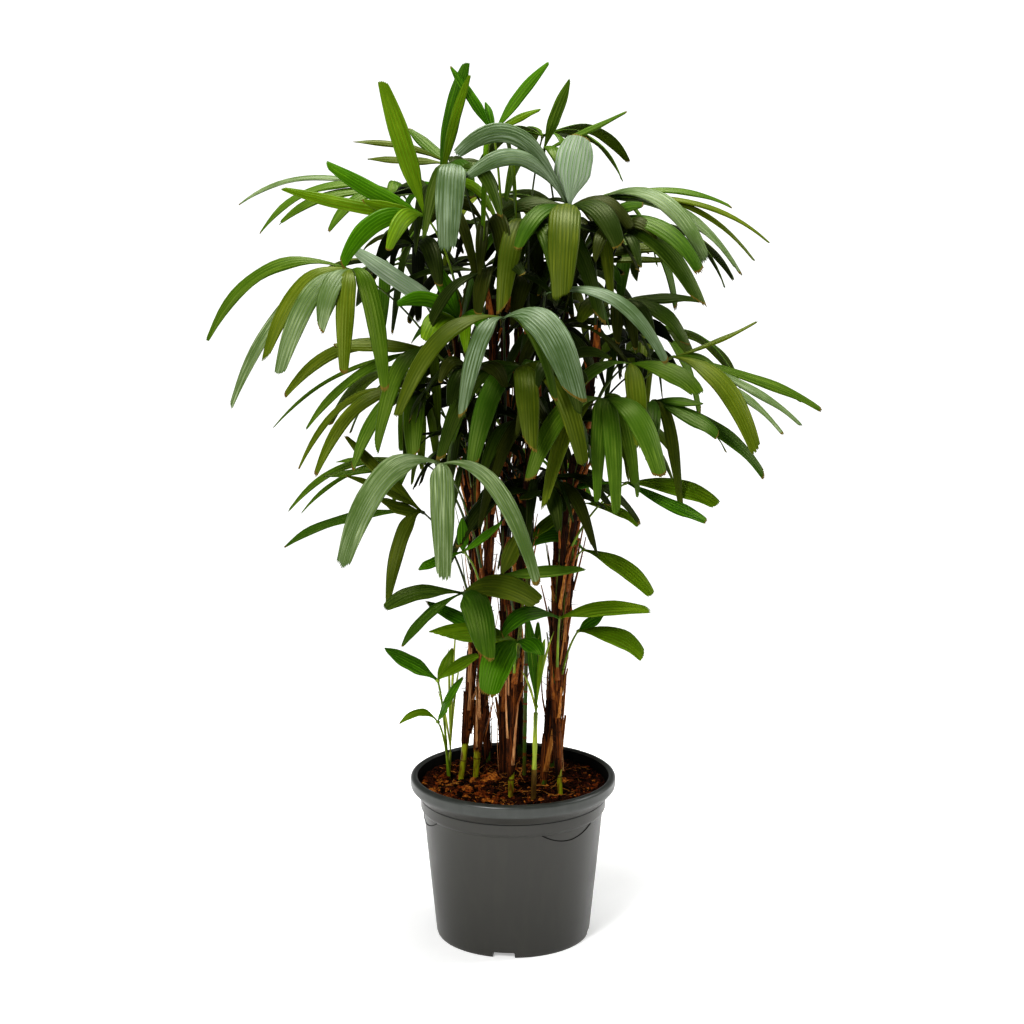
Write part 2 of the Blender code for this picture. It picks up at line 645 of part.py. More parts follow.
def settle_leaflet(name, frond, leaflet, placed, siblings):
    """Find the first turn and height at which the leaflet crosses nothing, or None."""
    hub = Vector(frond.hub) * CM
    face = face_direction(frond.face)
    right, back, up, width, arch = leaflet
    for turn, rise in by_size(LEAFLET_TURNS_DEG, LEAFLET_RAISES_CM):
        run = Vector((right, back, up + rise)) * CM
        run.rotate(Matrix.Rotation(math.radians(turn), 3, "Z"))
        line = leaflet_line(hub, hub + run, (arch + rise * 0.5) * CM)
        trial = leaflet_mesh(line, face, width * MM, CLEARANCE)
        if placed.hits(trial, name):
            continue
        outer = leaflet_mesh(line, face, width * MM, CLEARANCE, LEAFLET_FREE_FROM)
        if siblings.hits(outer):
            continue
        placed.add(name, trial)
        siblings.add(name, outer)
        return leaflet_mesh(line, face, width * MM)
    return None


def keep_largest_body(mesh):
    """Delete scraps that joining left loose from the frond."""
    shape = bmesh.new()
    shape.from_mesh(mesh)
    left = set(shape.verts)
    bodies = []
    while left:
        stack = [left.pop()]
        body = set(stack)
        while stack:
            for edge in stack.pop().link_edges:
                for vert in edge.verts:
                    if vert not in body:
                        body.add(vert)
                        stack.append(vert)
        left -= body
        bodies.append(body)
    bodies.sort(key=len)
    for body in bodies[:-1]:
        bmesh.ops.delete(shape, geom=list(body), context="VERTS")
    bmesh.ops.triangulate(shape, faces=shape.faces)
    shape.to_mesh(mesh)
    shape.free()


def is_closed(mesh):
    """Say whether every edge has two faces once points under 0.0001 mm apart are one."""
    spots = [tuple(round(value / (0.0001 * MM)) for value in v.co) for v in mesh.vertices]
    uses = {}
    for face in mesh.polygons:
        ring = [spots[index] for index in face.vertices]
        if len(set(ring)) < 3:
            continue
        for start, end in zip(ring, ring[1:] + ring[:1]):
            edge = (min(start, end), max(start, end))
            uses[edge] = uses.get(edge, 0) + 1
    return all(count == 2 for count in uses.values())


def joined(name, stalk, leaflets, mat, parts):
    """Join a stalk with its leaflets, and any second stalk, to one closed body."""
    pieces = new_collection(f"{name}_pieces")
    for index, mesh in enumerate(leaflets):
        add_object(f"{name}_leaflet_{index}", mesh, None, pieces)
    frond = add_object(name, stalk, mat, parts)
    union = frond.modifiers.new("Join", "BOOLEAN")
    union.operation = "UNION"
    union.operand_type = "COLLECTION"
    union.collection = pieces
    for solver in ("EXACT", "MANIFOLD"):
        union.solver = solver
        mesh = evaluated_mesh(frond)
        keep_largest_body(mesh)
        if is_closed(mesh):
            break
    frond.modifiers.remove(union)
    frond.data = mesh
    mesh.materials.clear()
    mesh.materials.append(mat)
    for piece in list(pieces.objects):
        bpy.data.objects.remove(piece, do_unlink=True)
    bpy.data.collections.remove(pieces)
    return frond


def add_canes(parts, placed):
    """Make every cane and keep its surface."""
    bark = material("cane_fibre", (0.070, 0.033, 0.015), 0.85)
    for cane in CANES:
        name = f"cane_{cane.name}"
        cane_solid = add_object(name, cane_mesh(cane), bark, parts)
        cane_solid.data.shade_smooth()
        placed.add(name, cane_mesh(cane))


def settle_stalks(placed):
    """Set every stalk first and return rows of (node's name, frond, stalk's mesh)."""
    rows = []
    for shoot in SHOOTS:
        for index, frond in enumerate(shoot.fronds):
            foot = Vector((*shoot.foot, (SOIL_LEVEL + GAP) / CM)) * CM
            foot.x += index * STALK_BASE_RADIUS
            stalk = settle_shoot(shoot.name, foot, Vector(frond.hub) * CM, placed)
            rows.append((shoot.name, frond, stalk))
    for cane in CANES:
        for index, frond in enumerate(cane.fronds):
            name = f"frond_{cane.name}_{index + 1}"
            rows.append((name, frond, settle_stalk(name, cane, Vector(frond.hub) * CM, placed)))
    return [row for row in rows if row[2] is not None]


def add_fronds(parts, placed):
    """Set every stalk, then every leaflet, and join each node's pieces."""
    greens = {tint: material(f"leaf_{tint}", colour, 0.45) for tint, colour in TINTS.items()}
    pieces = {}
    tints = {}
    for name, frond, stalk in settle_stalks(placed):
        siblings = Obstacles()
        found = [settle_leaflet(name, frond, leaflet, placed, siblings)
                 for leaflet in frond.leaflets]
        pieces.setdefault(name, []).append(stalk)
        pieces[name] += [mesh for mesh in found if mesh is not None]
        tints[name] = frond.tint
    for name, meshes in pieces.items():
        joined(name, meshes[0], meshes[1:], greens[tints[name]], parts)


def main():
    """Build the pot, the potting mix, the canes and the fronds."""
    clear_scene()
    parts = new_collection(PLANT_NAME)
    cutters = new_collection("cutters")
    placed = Obstacles()
    add_pot(parts, cutters)
    add_soil(parts)
    add_canes(parts, placed)
    add_fronds(parts, placed)


main()
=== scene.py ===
"""Dresses a potted lady palm: pleated fans, fibrous canes, bark mix and a moulded pot.

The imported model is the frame.  The fans, stalks and canes follow the same table and
the same rules as its solids, carried to finer shapes.  Lengths are metres unless a
name says cm or mm; +X is to the right of the plant's front, +Y behind it, +Z up.
"""

import logging
import math
from dataclasses import dataclass, field
from enum import Enum
from functools import cache
from typing import NamedTuple, Sequence

import bpy
import numpy as np
from mathutils import Matrix, Vector
from mathutils.bvhtree import BVHTree

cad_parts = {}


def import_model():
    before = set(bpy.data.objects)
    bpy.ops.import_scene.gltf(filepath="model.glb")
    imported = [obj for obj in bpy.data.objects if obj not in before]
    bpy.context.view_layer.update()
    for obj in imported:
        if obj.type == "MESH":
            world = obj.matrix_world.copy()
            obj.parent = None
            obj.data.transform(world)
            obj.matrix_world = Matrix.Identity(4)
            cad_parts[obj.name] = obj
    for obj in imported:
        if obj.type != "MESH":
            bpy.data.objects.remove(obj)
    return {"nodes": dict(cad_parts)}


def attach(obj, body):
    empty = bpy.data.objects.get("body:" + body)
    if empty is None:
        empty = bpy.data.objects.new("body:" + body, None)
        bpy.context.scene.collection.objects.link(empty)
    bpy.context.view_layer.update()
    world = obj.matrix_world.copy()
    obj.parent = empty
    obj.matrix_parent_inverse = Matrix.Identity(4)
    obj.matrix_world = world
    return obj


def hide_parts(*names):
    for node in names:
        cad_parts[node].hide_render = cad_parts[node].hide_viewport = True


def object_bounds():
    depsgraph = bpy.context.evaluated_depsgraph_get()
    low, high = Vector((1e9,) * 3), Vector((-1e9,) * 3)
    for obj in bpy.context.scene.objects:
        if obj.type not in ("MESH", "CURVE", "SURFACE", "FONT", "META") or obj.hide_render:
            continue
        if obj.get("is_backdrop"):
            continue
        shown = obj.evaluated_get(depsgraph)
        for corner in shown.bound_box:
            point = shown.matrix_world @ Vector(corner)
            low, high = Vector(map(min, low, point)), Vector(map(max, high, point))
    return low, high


LOG = logging.getLogger("lady_palm")
CM = 0.01
MM = 0.001
BODY = "root"
BLADE_MAP = "blade"
CANE_SEED = 19

# the pot and the level of its mix, as in the frame's solids
POT_HEIGHT = 0.227
SOIL_LEVEL = 0.212

# rules of the frame's stalks and leaflets
STALK_BASE_RADIUS = 2.0 * MM
STALK_RADIUS = 1.5 * MM
STALK_KNOB_RADIUS = 4.2 * MM
STALK_RISE = 1.15
STALK_LEAST_RISE = 0.07
STALK_LEAN = 0.35
STALK_LIFT = 0.72
STALK_SHIFTS_CM = (0, -2, 2, -4, 4, -7, 7)
STALK_BULGES_CM = (0, 1.5, -1.5, 3, -3)
STALK_SWINGS_DEG = (0, 35, -35, 80, -80)
STALK_SEAT = 1.6 * MM
STALK_CHECKS = np.array([0.2, 0.4, 0.6, 0.8])
LEAFLET_TURNS_DEG = (0, 4, -4, 8, -8, 13, -13)
LEAFLET_RAISES_CM = (0, 1.0, -1.0, 2.0, -2.0)
LEAFLET_CHECKS = np.array([0.42, 0.74, 1.0])
LEAFLET_RISING = np.array([0.42, 0.42, 0.62])
LEAFLET_FALLING = np.array([0.64, 0.64, 0.0])
CANE_FOOT_SHARE = 0.78
CANE_FOOT_REACH = 0.12
CANE_TOP_SHARE = 0.60
MATCH_DISTANCE = 1.2 * MM

Vec = np.ndarray


class Tint(Enum):
    """How old a fan is, which sets its greens; SHADE is no age but near-black greens, painted shade of the
    crown's inside.
    """

    SHADE = "shade"
    DEEP = "deep"
    MID = "mid"
    YOUNG = "young"


class Frond(NamedTuple):
    """One fan: its hub in cm, the way its upper side faces, and its leaflets.

    face is (heading from the front, elevation) in degrees.  Each leaflet is
    (right, back, up) from the hub to its tip in cm, its width in mm and the
    height of its arch in cm.
    """

    tint: str
    hub: tuple
    face: tuple
    leaflets: tuple


class Cane(NamedTuple):
    """One cane: foot (x, y), waist and top (x, y, z) in cm, thickness in mm."""

    name: str
    foot: tuple
    waist: tuple
    top: tuple
    thickness: float
    bare: float
    fronds: tuple


class Shoot(NamedTuple):
    """Young fans whose stalks rise together from the potting mix at foot, in cm.

    culm is the height in cm and thickness in mm of the young cane that they spring
    from, and each spear is (right, back, up) from its top to an unopened leaf's tip.
    """

    name: str
    foot: tuple
    culm: tuple
    spears: tuple
    fronds: tuple


def fan(heading: float, count: int, reach: float, fall: float, width: float, spread: float) -> tuple:
    """Returns the leaflets of an evenly opened fan, its middle ones longest and its outer ones lowest.

    Args:
        heading: the way its middle points, in degrees from the front.
        count: how many leaflets it has.
        reach: the middle leaflets' length in cm.
        fall: how far their tips hang, in cm.
        width: their width in mm.
        spread: how far round the fan opens, in degrees.

    Returns:
        A row for each leaflet, as a Frond holds them.
    """
    leaflets = []
    for index in range(count):
        share = index / (count - 1) - 0.5
        angle = math.radians(heading + spread * share)
        length = reach * (1.0 - 0.55 * share * share * 2)
        leaflets.append((
            length * math.sin(angle),
            -length * math.cos(angle),
            -fall * (0.75 + 1.1 * abs(share)) - (index % 2) * 1.2,
            width * (1.0 - 0.5 * abs(share)),
            2.2 + (index % 3) * 0.7,
        ))
    return tuple(leaflets)


CANES = (
    Cane("left", (-7.2, 0.7), (-5.0, 0.5, 50), (-6.5, -1.0, 86), 12, 70, (
        Frond("mid", (-20.5, -10, 92.5), (0, 50), (
            (-18, -3, -8.5, 20, 5), (-10.5, -5, -10.5, 24, 2), (-8.5, -8, -12, 28, 0.5),
            (-14.5, -6, -16.5, 20, -1), (-3.5, -7, -6.5, 26, 1), (-0.5, -8, -12, 24, 1.5),
            (4.5, -6, -14.5, 24, 2))),
        Frond("young", (-11, -12, 99.5), (-10, 25), (
            (-5, -2, 16.5, 25, -3), (-12, -2, 6.5, 22, -2), (-17.5, -2, 3.5, 17, -1.5),
            (-7.5, -3, 2, 16, -0.5), (-10, -7, -5.5, 24, 2), (-4, -9, -3.5, 22, 2))),
        Frond("young", (-7, -6, 85.5), (-10, 45), (
            (-13, -4, 9.5, 26, -1.5), (-3, 0, 7.5, 20, -1), (-1, 2, 7.5, 14, -1),
            (-7.5, -7, 3, 20, 3), (-4, -8, -1.5, 28, 3))),
        Frond("mid", (-11, -4, 81.5), (-10, 50), (
            (-12, -3, 1, 20, 0.5), (-18.5, -3, -5.5, 20, 4), (-20.5, 2, -10.5, 8, -1.5),
            (-15.5, -5, -9.5, 14, -0.5), (-6.5, -8, -11.5, 22, 2))),
        Frond("mid", (-13, 2, 75), (-10, 50), (
            (-15.5, -2, -10, 11, 3), (-13, -6, -10, 20, 2.5), (-8, -7, -9, 20, 1),
            (0, -9, -7, 30, 2))),
    )),
    Cane("left_inner", (-5.2, 1.6), (-3.4, -0.8, 50), (-2.6, -3.0, 88), 12, 45, (
        Frond("young", (-9.5, 0, 102), (0, 10), (
            (3.5, -1, 16, 22, 0), (4, -3, 14.5, 13, 0), (-3, -6, -6, 20, 2))),
        Frond("deep", (-7, -12, 105), (0, 60), (
            (-1, -8, -9, 36, 4), (-4, -3, -8, 18, 3), (5.5, -2, -5.5, 20, 3))),
        Frond("mid", (-9, -20, 69.5), (0, 60), (
            (-12, -6, -11.5, 38, 4.5), (0.5, -7, -13, 30, 2), (12, -6, -14, 24, 3))),
        Frond("young", (-6.5, -10, 56), (0, 40), (
            (0, 0, 5.5, 16, -1), (5, -3, 4.5, 12, -1), (-5.5, -6, -1, 15, 0))),
    )),
    Cane("middle", (-1.3, 2.9), (-1.0, 3.4, 52), (-1.2, 3.5, 95), 13, 15, (
        Frond("young", (-2.5, -2, 109), (0, 30), (
            (-5.5, 1, 8.5, 14, -1), (7, 1, 9, 15, -0.5), (-1, 2, 4, 10, 0),
            (6, 2, 3, 10, 0.3), (-1.2, -9, -15.5, 30, 4), (3, -5, -11.5, 26, 4))),
        Frond("deep", (-8.5, 10, 104.5), (0, 50), (
            (-12.5, -2, 3, 11, 1.5), (-11, 2, 0.5, 14, 0.5), (-5.5, 5, 4.5, 18, -1),
            (3, -6, -4, 22, 2))),
        Frond("deep", (7, -6, 100), (0, 60), (
            (-14, -6, 6, 26, 10), (-12.5, -9, 4.5, 24, 8), (3, -9, 0, 48, 15),
            (-1, -12, -10, 40, 3.5), (-6.5, -8, -4.5, 24, 2))),
        Frond("deep", (-1.2, -15.8, 87.2), (0, 60), (
            (-13, -8, -11, 26, 2.5), (-5, -8, -11, 23, 1.5), (9, -8, -9, 44, 4.2),
            (6.5, -3.2, -10, 20, 2.4))),
    )),
    Cane("front", (-0.3, -5.9), (0.6, -6.2, 48), (3.2, -7.5, 76), 11, 40, (
        Frond("deep", (-6.5, -14, 51.5), (0, 55), (
            (-9.7, -5, -0.7, 24, 2.2), (9.7, -5, 0, 34, 3.5), (3, -6, -7, 38, 2),
            (-7.5, -6, -5.5, 14, -1))),
        Frond("young", (0.5, -12, 44.5), (0, 55), (
            (-10, -6, 2.5, 32, 1.5), (-11.5, -2, 5.5, 22, -1), (-3.7, -6, -5.5, 42, 1.5),
            (3, -3, -1, 24, 1))),
        Frond("mid", (11.5, -10, 76), (15, 55), (
            (7, -8, -8.5, 34, 2), (-9.5, -8, -9, 26, 2.5), (-7.5, -4, -13, 24, 2))),
        Frond("deep", (4, -14, 90), (15, 65), (
            (15, -5, -8, 24, 3.5), (-2.5, -7, -10.5, 24, 2), (-8, -5, -9.5, 20, 2))),
        Frond("mid", (-1.5, -10.5, 53), (0, 50), (
            (10.3, -3, 1.7, 20, -0.2), (2.5, 2, 5.5, 22, -1), (-4, -6, -3, 18, 1))),
    )),
    Cane("right", (4.1, -1.4), (7.0, -0.5, 50), (11.0, 0, 82), 12, 10, (
        Frond("deep", (10.5, -4, 97.5), (10, 60), (
            (13, -8, -5, 28, 4), (13, -7, -9, 30, 2), (6, -3, 3, 20, 1), (2, -6, -9, 18, 1))),
        Frond("mid", (11, 8, 100), (10, 60), (
            (14, -10, -7, 26, 5), (8.5, -5, 0.5, 18, 1.5), (18, 0, -1, 14, 3),
            (23, -2, -5.5, 12, 2), (19, -5, -9.5, 14, 3), (21, -3, -8, 12, 2.5),
            (18, -8, -8, 14, 1.5))),
        Frond("mid", (15, -6, 80), (10, 55), (
            (8.5, -6, -3, 30, 1), (1, -8, -7.5, 26, 2), (-9.5, -6, -7, 18, 2))),
        Frond("deep", (18.5, -2, 74.5), (10, 55), (
            (14.5, -2, -9.5, 24, -2), (8, -6, -3.5, 26, -1), (6, -3, 0, 16, 0.5),
            (10, 4, -7.5, 10, -1.5), (3.5, -4, -14.5, 18, 1), (-1, -9, -6, 24, 1))),
    )),
    Cane("right_front", (6.4, -5.5), (6.0, -5.0, 48), (8.0, -5.5, 68), 10, 45, (
        Frond("mid", (21, 0, 80), (10, 55), (
            (19.5, -2, -6.7, 18, -2.2), (17.5, 3, -6.5, 12, -2), (16.5, -5, -8.3, 15, -2.5),
            (14, -7, -9, 13, -3), (7, 3, -3, 16, 1), (11.5, 5, 4, 8, -1.5),
            (10.5, -8, -12, 30, 0))),
        Frond("young", (15, -2, 63.5), (10, 50), (
            (11.5, -4, -2.3, 28, 1), (11, -7, -3.3, 20, -2), (-11, -4, -2.5, 9, 1))),
        Frond("young", (6.1, -7.5, 46.5), (5, 50), (
            (11.5, -3, 2, 24, 1.2), (-8, -6, -1.5, 22, 3))),
        Frond("young", (8.7, -3, 43.5), (10, 50), (
            (8.5, -5, -2, 28, 1.5), (3.5, 2, 1.7, 16, 0))),
    )),
    Cane("right_inner", (5.3, 6.4), (6.2, 5.6, 55), (7.0, 6.0, 90), 13, 15, (
        Frond("deep", (9.5, 0, 92.5), (10, 55), (
            (12, -3, 2, 18, 1.5), (13, 2, 0, 12, 0.5), (4.5, -4, -2.5, 16, 1))),
        Frond("mid", (4, 6, 106.5), (20, 40), (
            (3.5, 2, 9, 16, -1), (11, 1, 5, 9, -1), (2, -6, -1.5, 20, 2), (-5, -8, -6, 16, 3))),
        Frond("deep", (14, 4, 86.5), (10, 55), (
            (11, 2, 0.3, 20, 1.2), (9, -3, -5, 26, 1.5), (-5, -6, -2.7, 24, 2))),
        Frond("young", (9.5, 2, 53.5), (10, 50), (
            (9, -5, -5, 26, -0.5), (-6.5, -5, 0, 22, 2))),
        Frond("young", (9.5, 4, 59.5), (10, 50), (
            (7.3, -3, -2.5, 14, 0.3), (-7, -6, -4.3, 18, -1.5), (-4, 4, 4, 18, -1))),
    )),
    Cane("left_back", (-3.5, 9.0), (-5.5, 11.0, 50), (-8.0, 13.0, 82), 10, 20, (
        Frond("mid", (-15, 12, 100.5), (0, 60), (
            (-22, 0, -1.5, 12, 5), (-19, -3, -5, 16, 4.5), (-16, -4, -2.5, 18, 2.5),
            (-17, 4, -4.5, 14, 2), (-9.5, -6, -4.5, 18, 2), (-1, -6, -1.5, 20, 4))),
        Frond("deep", (-12, -4, 60), (-5, 50), (
            (-4.3, -6, -10.7, 20, 1), (-5.3, -3, 2, 22, -0.5), (-18, -2, -4.3, 16, 1),
            (-10, 2, 9.7, 18, -2), (-9.5, -6, 6, 10, 0))),
        Frond("mid", (-12, 4, 65), (-10, 50), (
            (-18, -3, -5.8, 12, 3), (-16.7, 2, -7.3, 9, 1), (-12, 3, -0.4, 9, 0.5),
            (-13, -6, -0.7, 12, 0), (3, -6, 2, 14, 1))),
        Frond("deep", (-17, 19, 90), (-140, 65), fan(-140, 8, 15, 7, 27, 270)),
        Frond("mid", (-13, 23, 74), (-150, 65), fan(-150, 8, 14, 6, 28, 270)),
    )),
    Cane("back", (1.0, 11.3), (0.5, 13.0, 55), (1.0, 15.0, 88), 11, 20, (
        Frond("mid", (-3, 22, 99), (180, 65), fan(185, 8, 15, 7, 27, 270)),
        Frond("deep", (6, 26, 88), (170, 65), fan(165, 8, 14, 8, 28, 270)),
        Frond("mid", (4, 15, 108), (160, 60), fan(150, 7, 13, 4, 24, 240)),
        Frond("young", (1, 24, 62), (180, 60), fan(175, 7, 12, 5, 26, 240)),
    )),
    Cane("back_right", (5.3, 10.2), (8.3, 14.0, 50), (11.5, 18.0, 82), 11, 20, (
        Frond("deep", (17, 18, 95), (130, 65), fan(120, 8, 14, 7, 27, 270)),
        Frond("mid", (19, 21, 80), (140, 65), fan(130, 8, 14, 7, 28, 270)),
        Frond("mid", (12, 24, 66), (150, 60), fan(152, 7, 13, 5, 26, 240)),
    )),
    Cane("slim", (1.5, 1.6), (1.9, -1.0, 50), (2.2, -2.5, 84), 7, 250, (
        Frond("deep", (1, -9, 80), (0, 60), fan(5, 9, 12, 11, 30, 290)),
        Frond("deep", (2, -5, 98), (10, 60), fan(20, 9, 11, 12, 30, 300)),
    )),
)

SHOOTS = (
    Shoot("shoot_left", (-8.9, 1.2), (4.0, 4.6), (
        (-1.6, -1, 9), (-0.2, 0.5, 14.5), (0.9, 0, 18), (1.3, 1, 12)), (
        Frond("young", (-10, -7.5, 38), (-5, 50), (
            (-6.7, -2, 4.5, 22, 0), (5.5, -2, 4, 18, 0), (2, 2, 3.7, 16, -1))),
        Frond("young", (-10.1, -5, 31.5), (0, 60), (
            (-5, -1, 0, 11, 3), (1.8, -2, 3.4, 12, 0), (3.4, -1, 6.4, 12, 0))),
    )),
    Shoot("shoot_front", (2.7, -7.5), (12.3, 6.8), (
        (-1.9, -0.6, 6), (-0.9, -0.4, 10), (0.4, 0.4, 10.5), (0.9, 0, 6.2), (2.4, 0.6, 11), (-0.3, 0.8, 8)), (
        Frond("young", (3.1, -7.8, 34.5), (0, 10), (
            (-1.2, 0, 12, 14, 0), (0.2, 2, 11, 12, 0), (1, -1, 9.5, 8, 0))),
    )),
)

# leaflets whose tops take a pale grey-green painted sheen, by fan and by their place in its row
PAINTED_SHEEN = {
    "frond_middle_3": (0, 1, 2),
    "frond_middle_4": (1, 2),
    "frond_right_2": (0, 4, 6),
    "frond_left_inner_2": (0,),
    "frond_left_inner_3": (0, 1, 2),
    "frond_front_4": (0, 1),
    "frond_left_1": (2, 3, 4),
    "frond_left_3": (0,),
    "frond_left_back_1": (0, 3),
    "frond_right_front_1": (2, 3),
}

# leaflets that stand up with their painted-sheen side to the front: the run in cm and the way it faces
STANDING = {("frond_middle_3", 2): ((1.6, 3.0, 8.9), (0.15, -0.9, 0.35))}

# how many fans in the near-black painted-shade greens grow close round each cane
INNER_FANS = {"left_inner": 5, "middle": 6, "front": 3, "right": 4, "right_inner": 5, "left_back": 3,
              "left": 2, "back": 1, "slim": 5}


def per_metre(size_mm: float) -> float:
    """Returns the pattern scale that repeats about once in a size given in mm."""
    return 1.0 / (size_mm * MM)


def linear(hex_colour: str) -> tuple[float, float, float, float]:
    """Turns an sRGB colour to the linear values that a shader's socket takes.

    Args:
        hex_colour: the colour as "#rrggbb".

    Returns:
        Red, green, blue and an alpha of one.
    """
    values = [int(hex_colour[i:i + 2], 16) / 255.0 for i in (1, 3, 5)]
    red, green, blue = (v / 12.92 if v <= 0.04045 else ((v + 0.055) / 1.055) ** 2.4 for v in values)
    return red, green, blue, 1.0


def add_node(
    tree: bpy.types.NodeTree, kind: str, settings: dict | None = None, links: dict | None = None
) -> bpy.types.Node:
    """Adds a shader node, fills its sockets and properties, and links what feeds it.

    Args:
        tree: the material's node tree.
        kind: the node's type name.
        settings: values by socket name or number, or by property name.
        links: the sockets that feed this node's inputs, by input name or number.

    Returns:
        The new node.
    """
    node = tree.nodes.new(kind)
    for key, value in (settings or {}).items():
        if isinstance(key, int) or key in node.inputs:
            node.inputs[key].default_value = value
        else:
            setattr(node, key, value)
    for key, source in (links or {}).items():
        tree.links.new(source, node.inputs[key])
    return node


@dataclass(frozen=True)
class Paint:
    """A material in the making: its node tree, its shader and the object's own coordinates."""

    material: bpy.types.Material
    tree: bpy.types.NodeTree
    shader: bpy.types.Node
    place: bpy.types.NodeSocket

    def noise(
        self, size_mm: tuple[float, float, float], detail: float = 3.0, low: float = 0.35, high: float = 0.65,
        coords: bpy.types.NodeSocket | None = None
    ) -> bpy.types.NodeSocket:
        """Returns a soft random value from 0 to 1 with patches of the given size.

        Args:
            size_mm: the patches' size along each axis.
            detail: how much finer noise is added.
            low: the noise value that becomes 0.
            high: the noise value that becomes 1.
            coords: other coordinates than the object's own, in metres.

        Returns:
            The value socket.
        """
        scale = tuple(per_metre(size) for size in size_mm)
        place = self.place if coords is None else coords
        mapping = add_node(self.tree, "ShaderNodeMapping", {"Scale": scale}, {"Vector": place})
        cloud = add_node(self.tree, "ShaderNodeTexNoise", {"Scale": 1.0, "Detail": detail},
                         {"Vector": mapping.outputs["Vector"]})
        spread = add_node(self.tree, "ShaderNodeMapRange", {"From Min": low, "From Max": high},
                          {"Value": cloud.outputs["Fac"]})
        return spread.outputs["Result"]

    def colours(self, share: bpy.types.NodeSocket, low: str, high: str) -> None:
        """Colours the surface from low to high, both sRGB, as share goes from 0 to 1.

        Args:
            share: the pattern that drives the change.
            low: the colour at 0.
            high: the colour at 1.
        """
        ramp = add_node(self.tree, "ShaderNodeValToRGB", links={"Fac": share})
        for element, colour in zip(ramp.color_ramp.elements, (low, high)):
            element.color = linear(colour)
        self.tree.links.new(ramp.outputs["Color"], self.shader.inputs["Base Color"])

    def roughness(self, share: bpy.types.NodeSocket, low: float, high: float) -> None:
        """Roughens the surface from low to high as share goes from 0 to 1.

        Args:
            share: the pattern that drives the change.
            low: the roughness at 0.
            high: the roughness at 1.
        """
        spread = add_node(self.tree, "ShaderNodeMapRange", {"To Min": low, "To Max": high}, {"Value": share})
        self.tree.links.new(spread.outputs["Result"], self.shader.inputs["Roughness"])

    def bump(self, height: bpy.types.NodeSocket, depth_mm: float, strength: float = 1.0) -> None:
        """Raises the surface by a height pattern.

        Args:
            height: the pattern, from 0 to 1.
            depth_mm: how far the pattern stands out.
            strength: how strongly the bump shows.
        """
        bump = add_node(self.tree, "ShaderNodeBump", {"Strength": strength, "Distance": depth_mm * MM},
                        {"Height": height})
        self.tree.links.new(bump.outputs["Normal"], self.shader.inputs["Normal"])


@dataclass(frozen=True)
class Finish:
    """A Principled material, before any pattern is added to it."""

    name: str
    colour: str
    roughness: float
    specular: float = 0.5
    sheen: str = "#ffffff"

    def start(self) -> Paint:
        """Starts the material with its plain values set on the shader's own sockets."""
        material = bpy.data.materials.new(self.name)
        material.use_nodes = True
        tree = material.node_tree
        shader = tree.nodes["Principled BSDF"]
        plain = {"Base Color": linear(self.colour), "Roughness": self.roughness,
                 "Specular IOR Level": self.specular, "Specular Tint": linear(self.sheen)}
        for socket, value in plain.items():
            shader.inputs[socket].default_value = value
        return Paint(material, tree, shader, add_node(tree, "ShaderNodeTexCoord").outputs["Object"])

    def make(self) -> bpy.types.Material:
        """Returns the finished material."""
        return self.start().material


@dataclass(frozen=True)
class LeafFinish(Finish):
    """Palm leaf: a waxy cuticle over pleated green tissue, with fine veins along it.

    It gives a soft satin sheen on the crests of the pleats, and faint paler streaks.
    """

    sheen: str = "#e4ec92"
    streak: str = "#6d8f4a"
    patch_mm: float = 38.0
    streak_mm: tuple[float, float, float] = (2.2, 70.0, 1000.0)
    vein_mm: tuple[float, float, float] = (0.9, 60.0, 1000.0)

    def make(self) -> bpy.types.Material:
        """Returns the leaf material: streaks along the blade, and veins in the bump."""
        paint = self.start()
        patches = paint.noise((self.patch_mm,) * 3, low=0.30, high=0.80)
        # the blade's own map is in metres across and along it
        blade = add_node(paint.tree, "ShaderNodeUVMap", {"uv_map": BLADE_MAP}).outputs["UV"]
        streaks = paint.noise(self.streak_mm, low=0.42, high=0.74, coords=blade)
        amount = add_node(paint.tree, "ShaderNodeMath", {"operation": "MULTIPLY"}, {0: patches, 1: streaks})
        paint.colours(amount.outputs["Value"], self.colour, self.streak)
        paint.roughness(patches, self.roughness - 0.06, self.roughness + 0.10)
        paint.bump(paint.noise(self.vein_mm, 1.0, 0.30, 0.70, blade), 0.10, 0.5)
        return paint.material


@dataclass(frozen=True)
class StalkFinish(Finish):
    """Leaf stalk: smooth green rind, with a slight change of green along it."""

    shade: str = "#3a4a12"
    patch_mm: tuple[float, float, float] = (9.0, 9.0, 34.0)

    def make(self) -> bpy.types.Material:
        """Returns the stalk material."""
        paint = self.start()
        paint.colours(paint.noise(self.patch_mm), self.shade, self.colour)
        return paint.material


@dataclass(frozen=True)
class FibreFinish(Finish):
    """Sheath fibre: coarse dry threads matted round the cane.

    It is dull, with threads about 1 mm apart that run mostly upwards; the dark colour in the gaps between
    them, where the bump is low, is painted shade.
    """

    gap: str = "#120a06"
    thread_mm: tuple[float, float, float] = (1.1, 1.1, 26.0)
    depth_mm: float = 0.8

    def make(self) -> bpy.types.Material:
        """Returns the fibre material: threads in colour and bump."""
        paint = self.start()
        threads = paint.noise(self.thread_mm, 2.0, 0.40, 0.62)
        # the gap colour is painted shade between the threads
        paint.colours(threads, self.gap, self.colour)
        paint.bump(threads, self.depth_mm)
        return paint.material


@dataclass(frozen=True)
class CulmFinish(Finish):
    """Bare palm cane: hard glossy rind, yellow-green, stained brown in patches."""

    stain: str = "#6b5a1c"
    stain_mm: tuple[float, float, float] = (5.0, 5.0, 16.0)
    grain_mm: tuple[float, float, float] = (0.8, 0.8, 22.0)

    def make(self) -> bpy.types.Material:
        """Returns the rind material: stains in colour, fine grain in bump."""
        paint = self.start()
        paint.colours(paint.noise(self.stain_mm, 4.0, 0.42, 0.66), self.colour, self.stain)
        paint.bump(paint.noise(self.grain_mm, 1.0), 0.12, 0.6)
        return paint.material


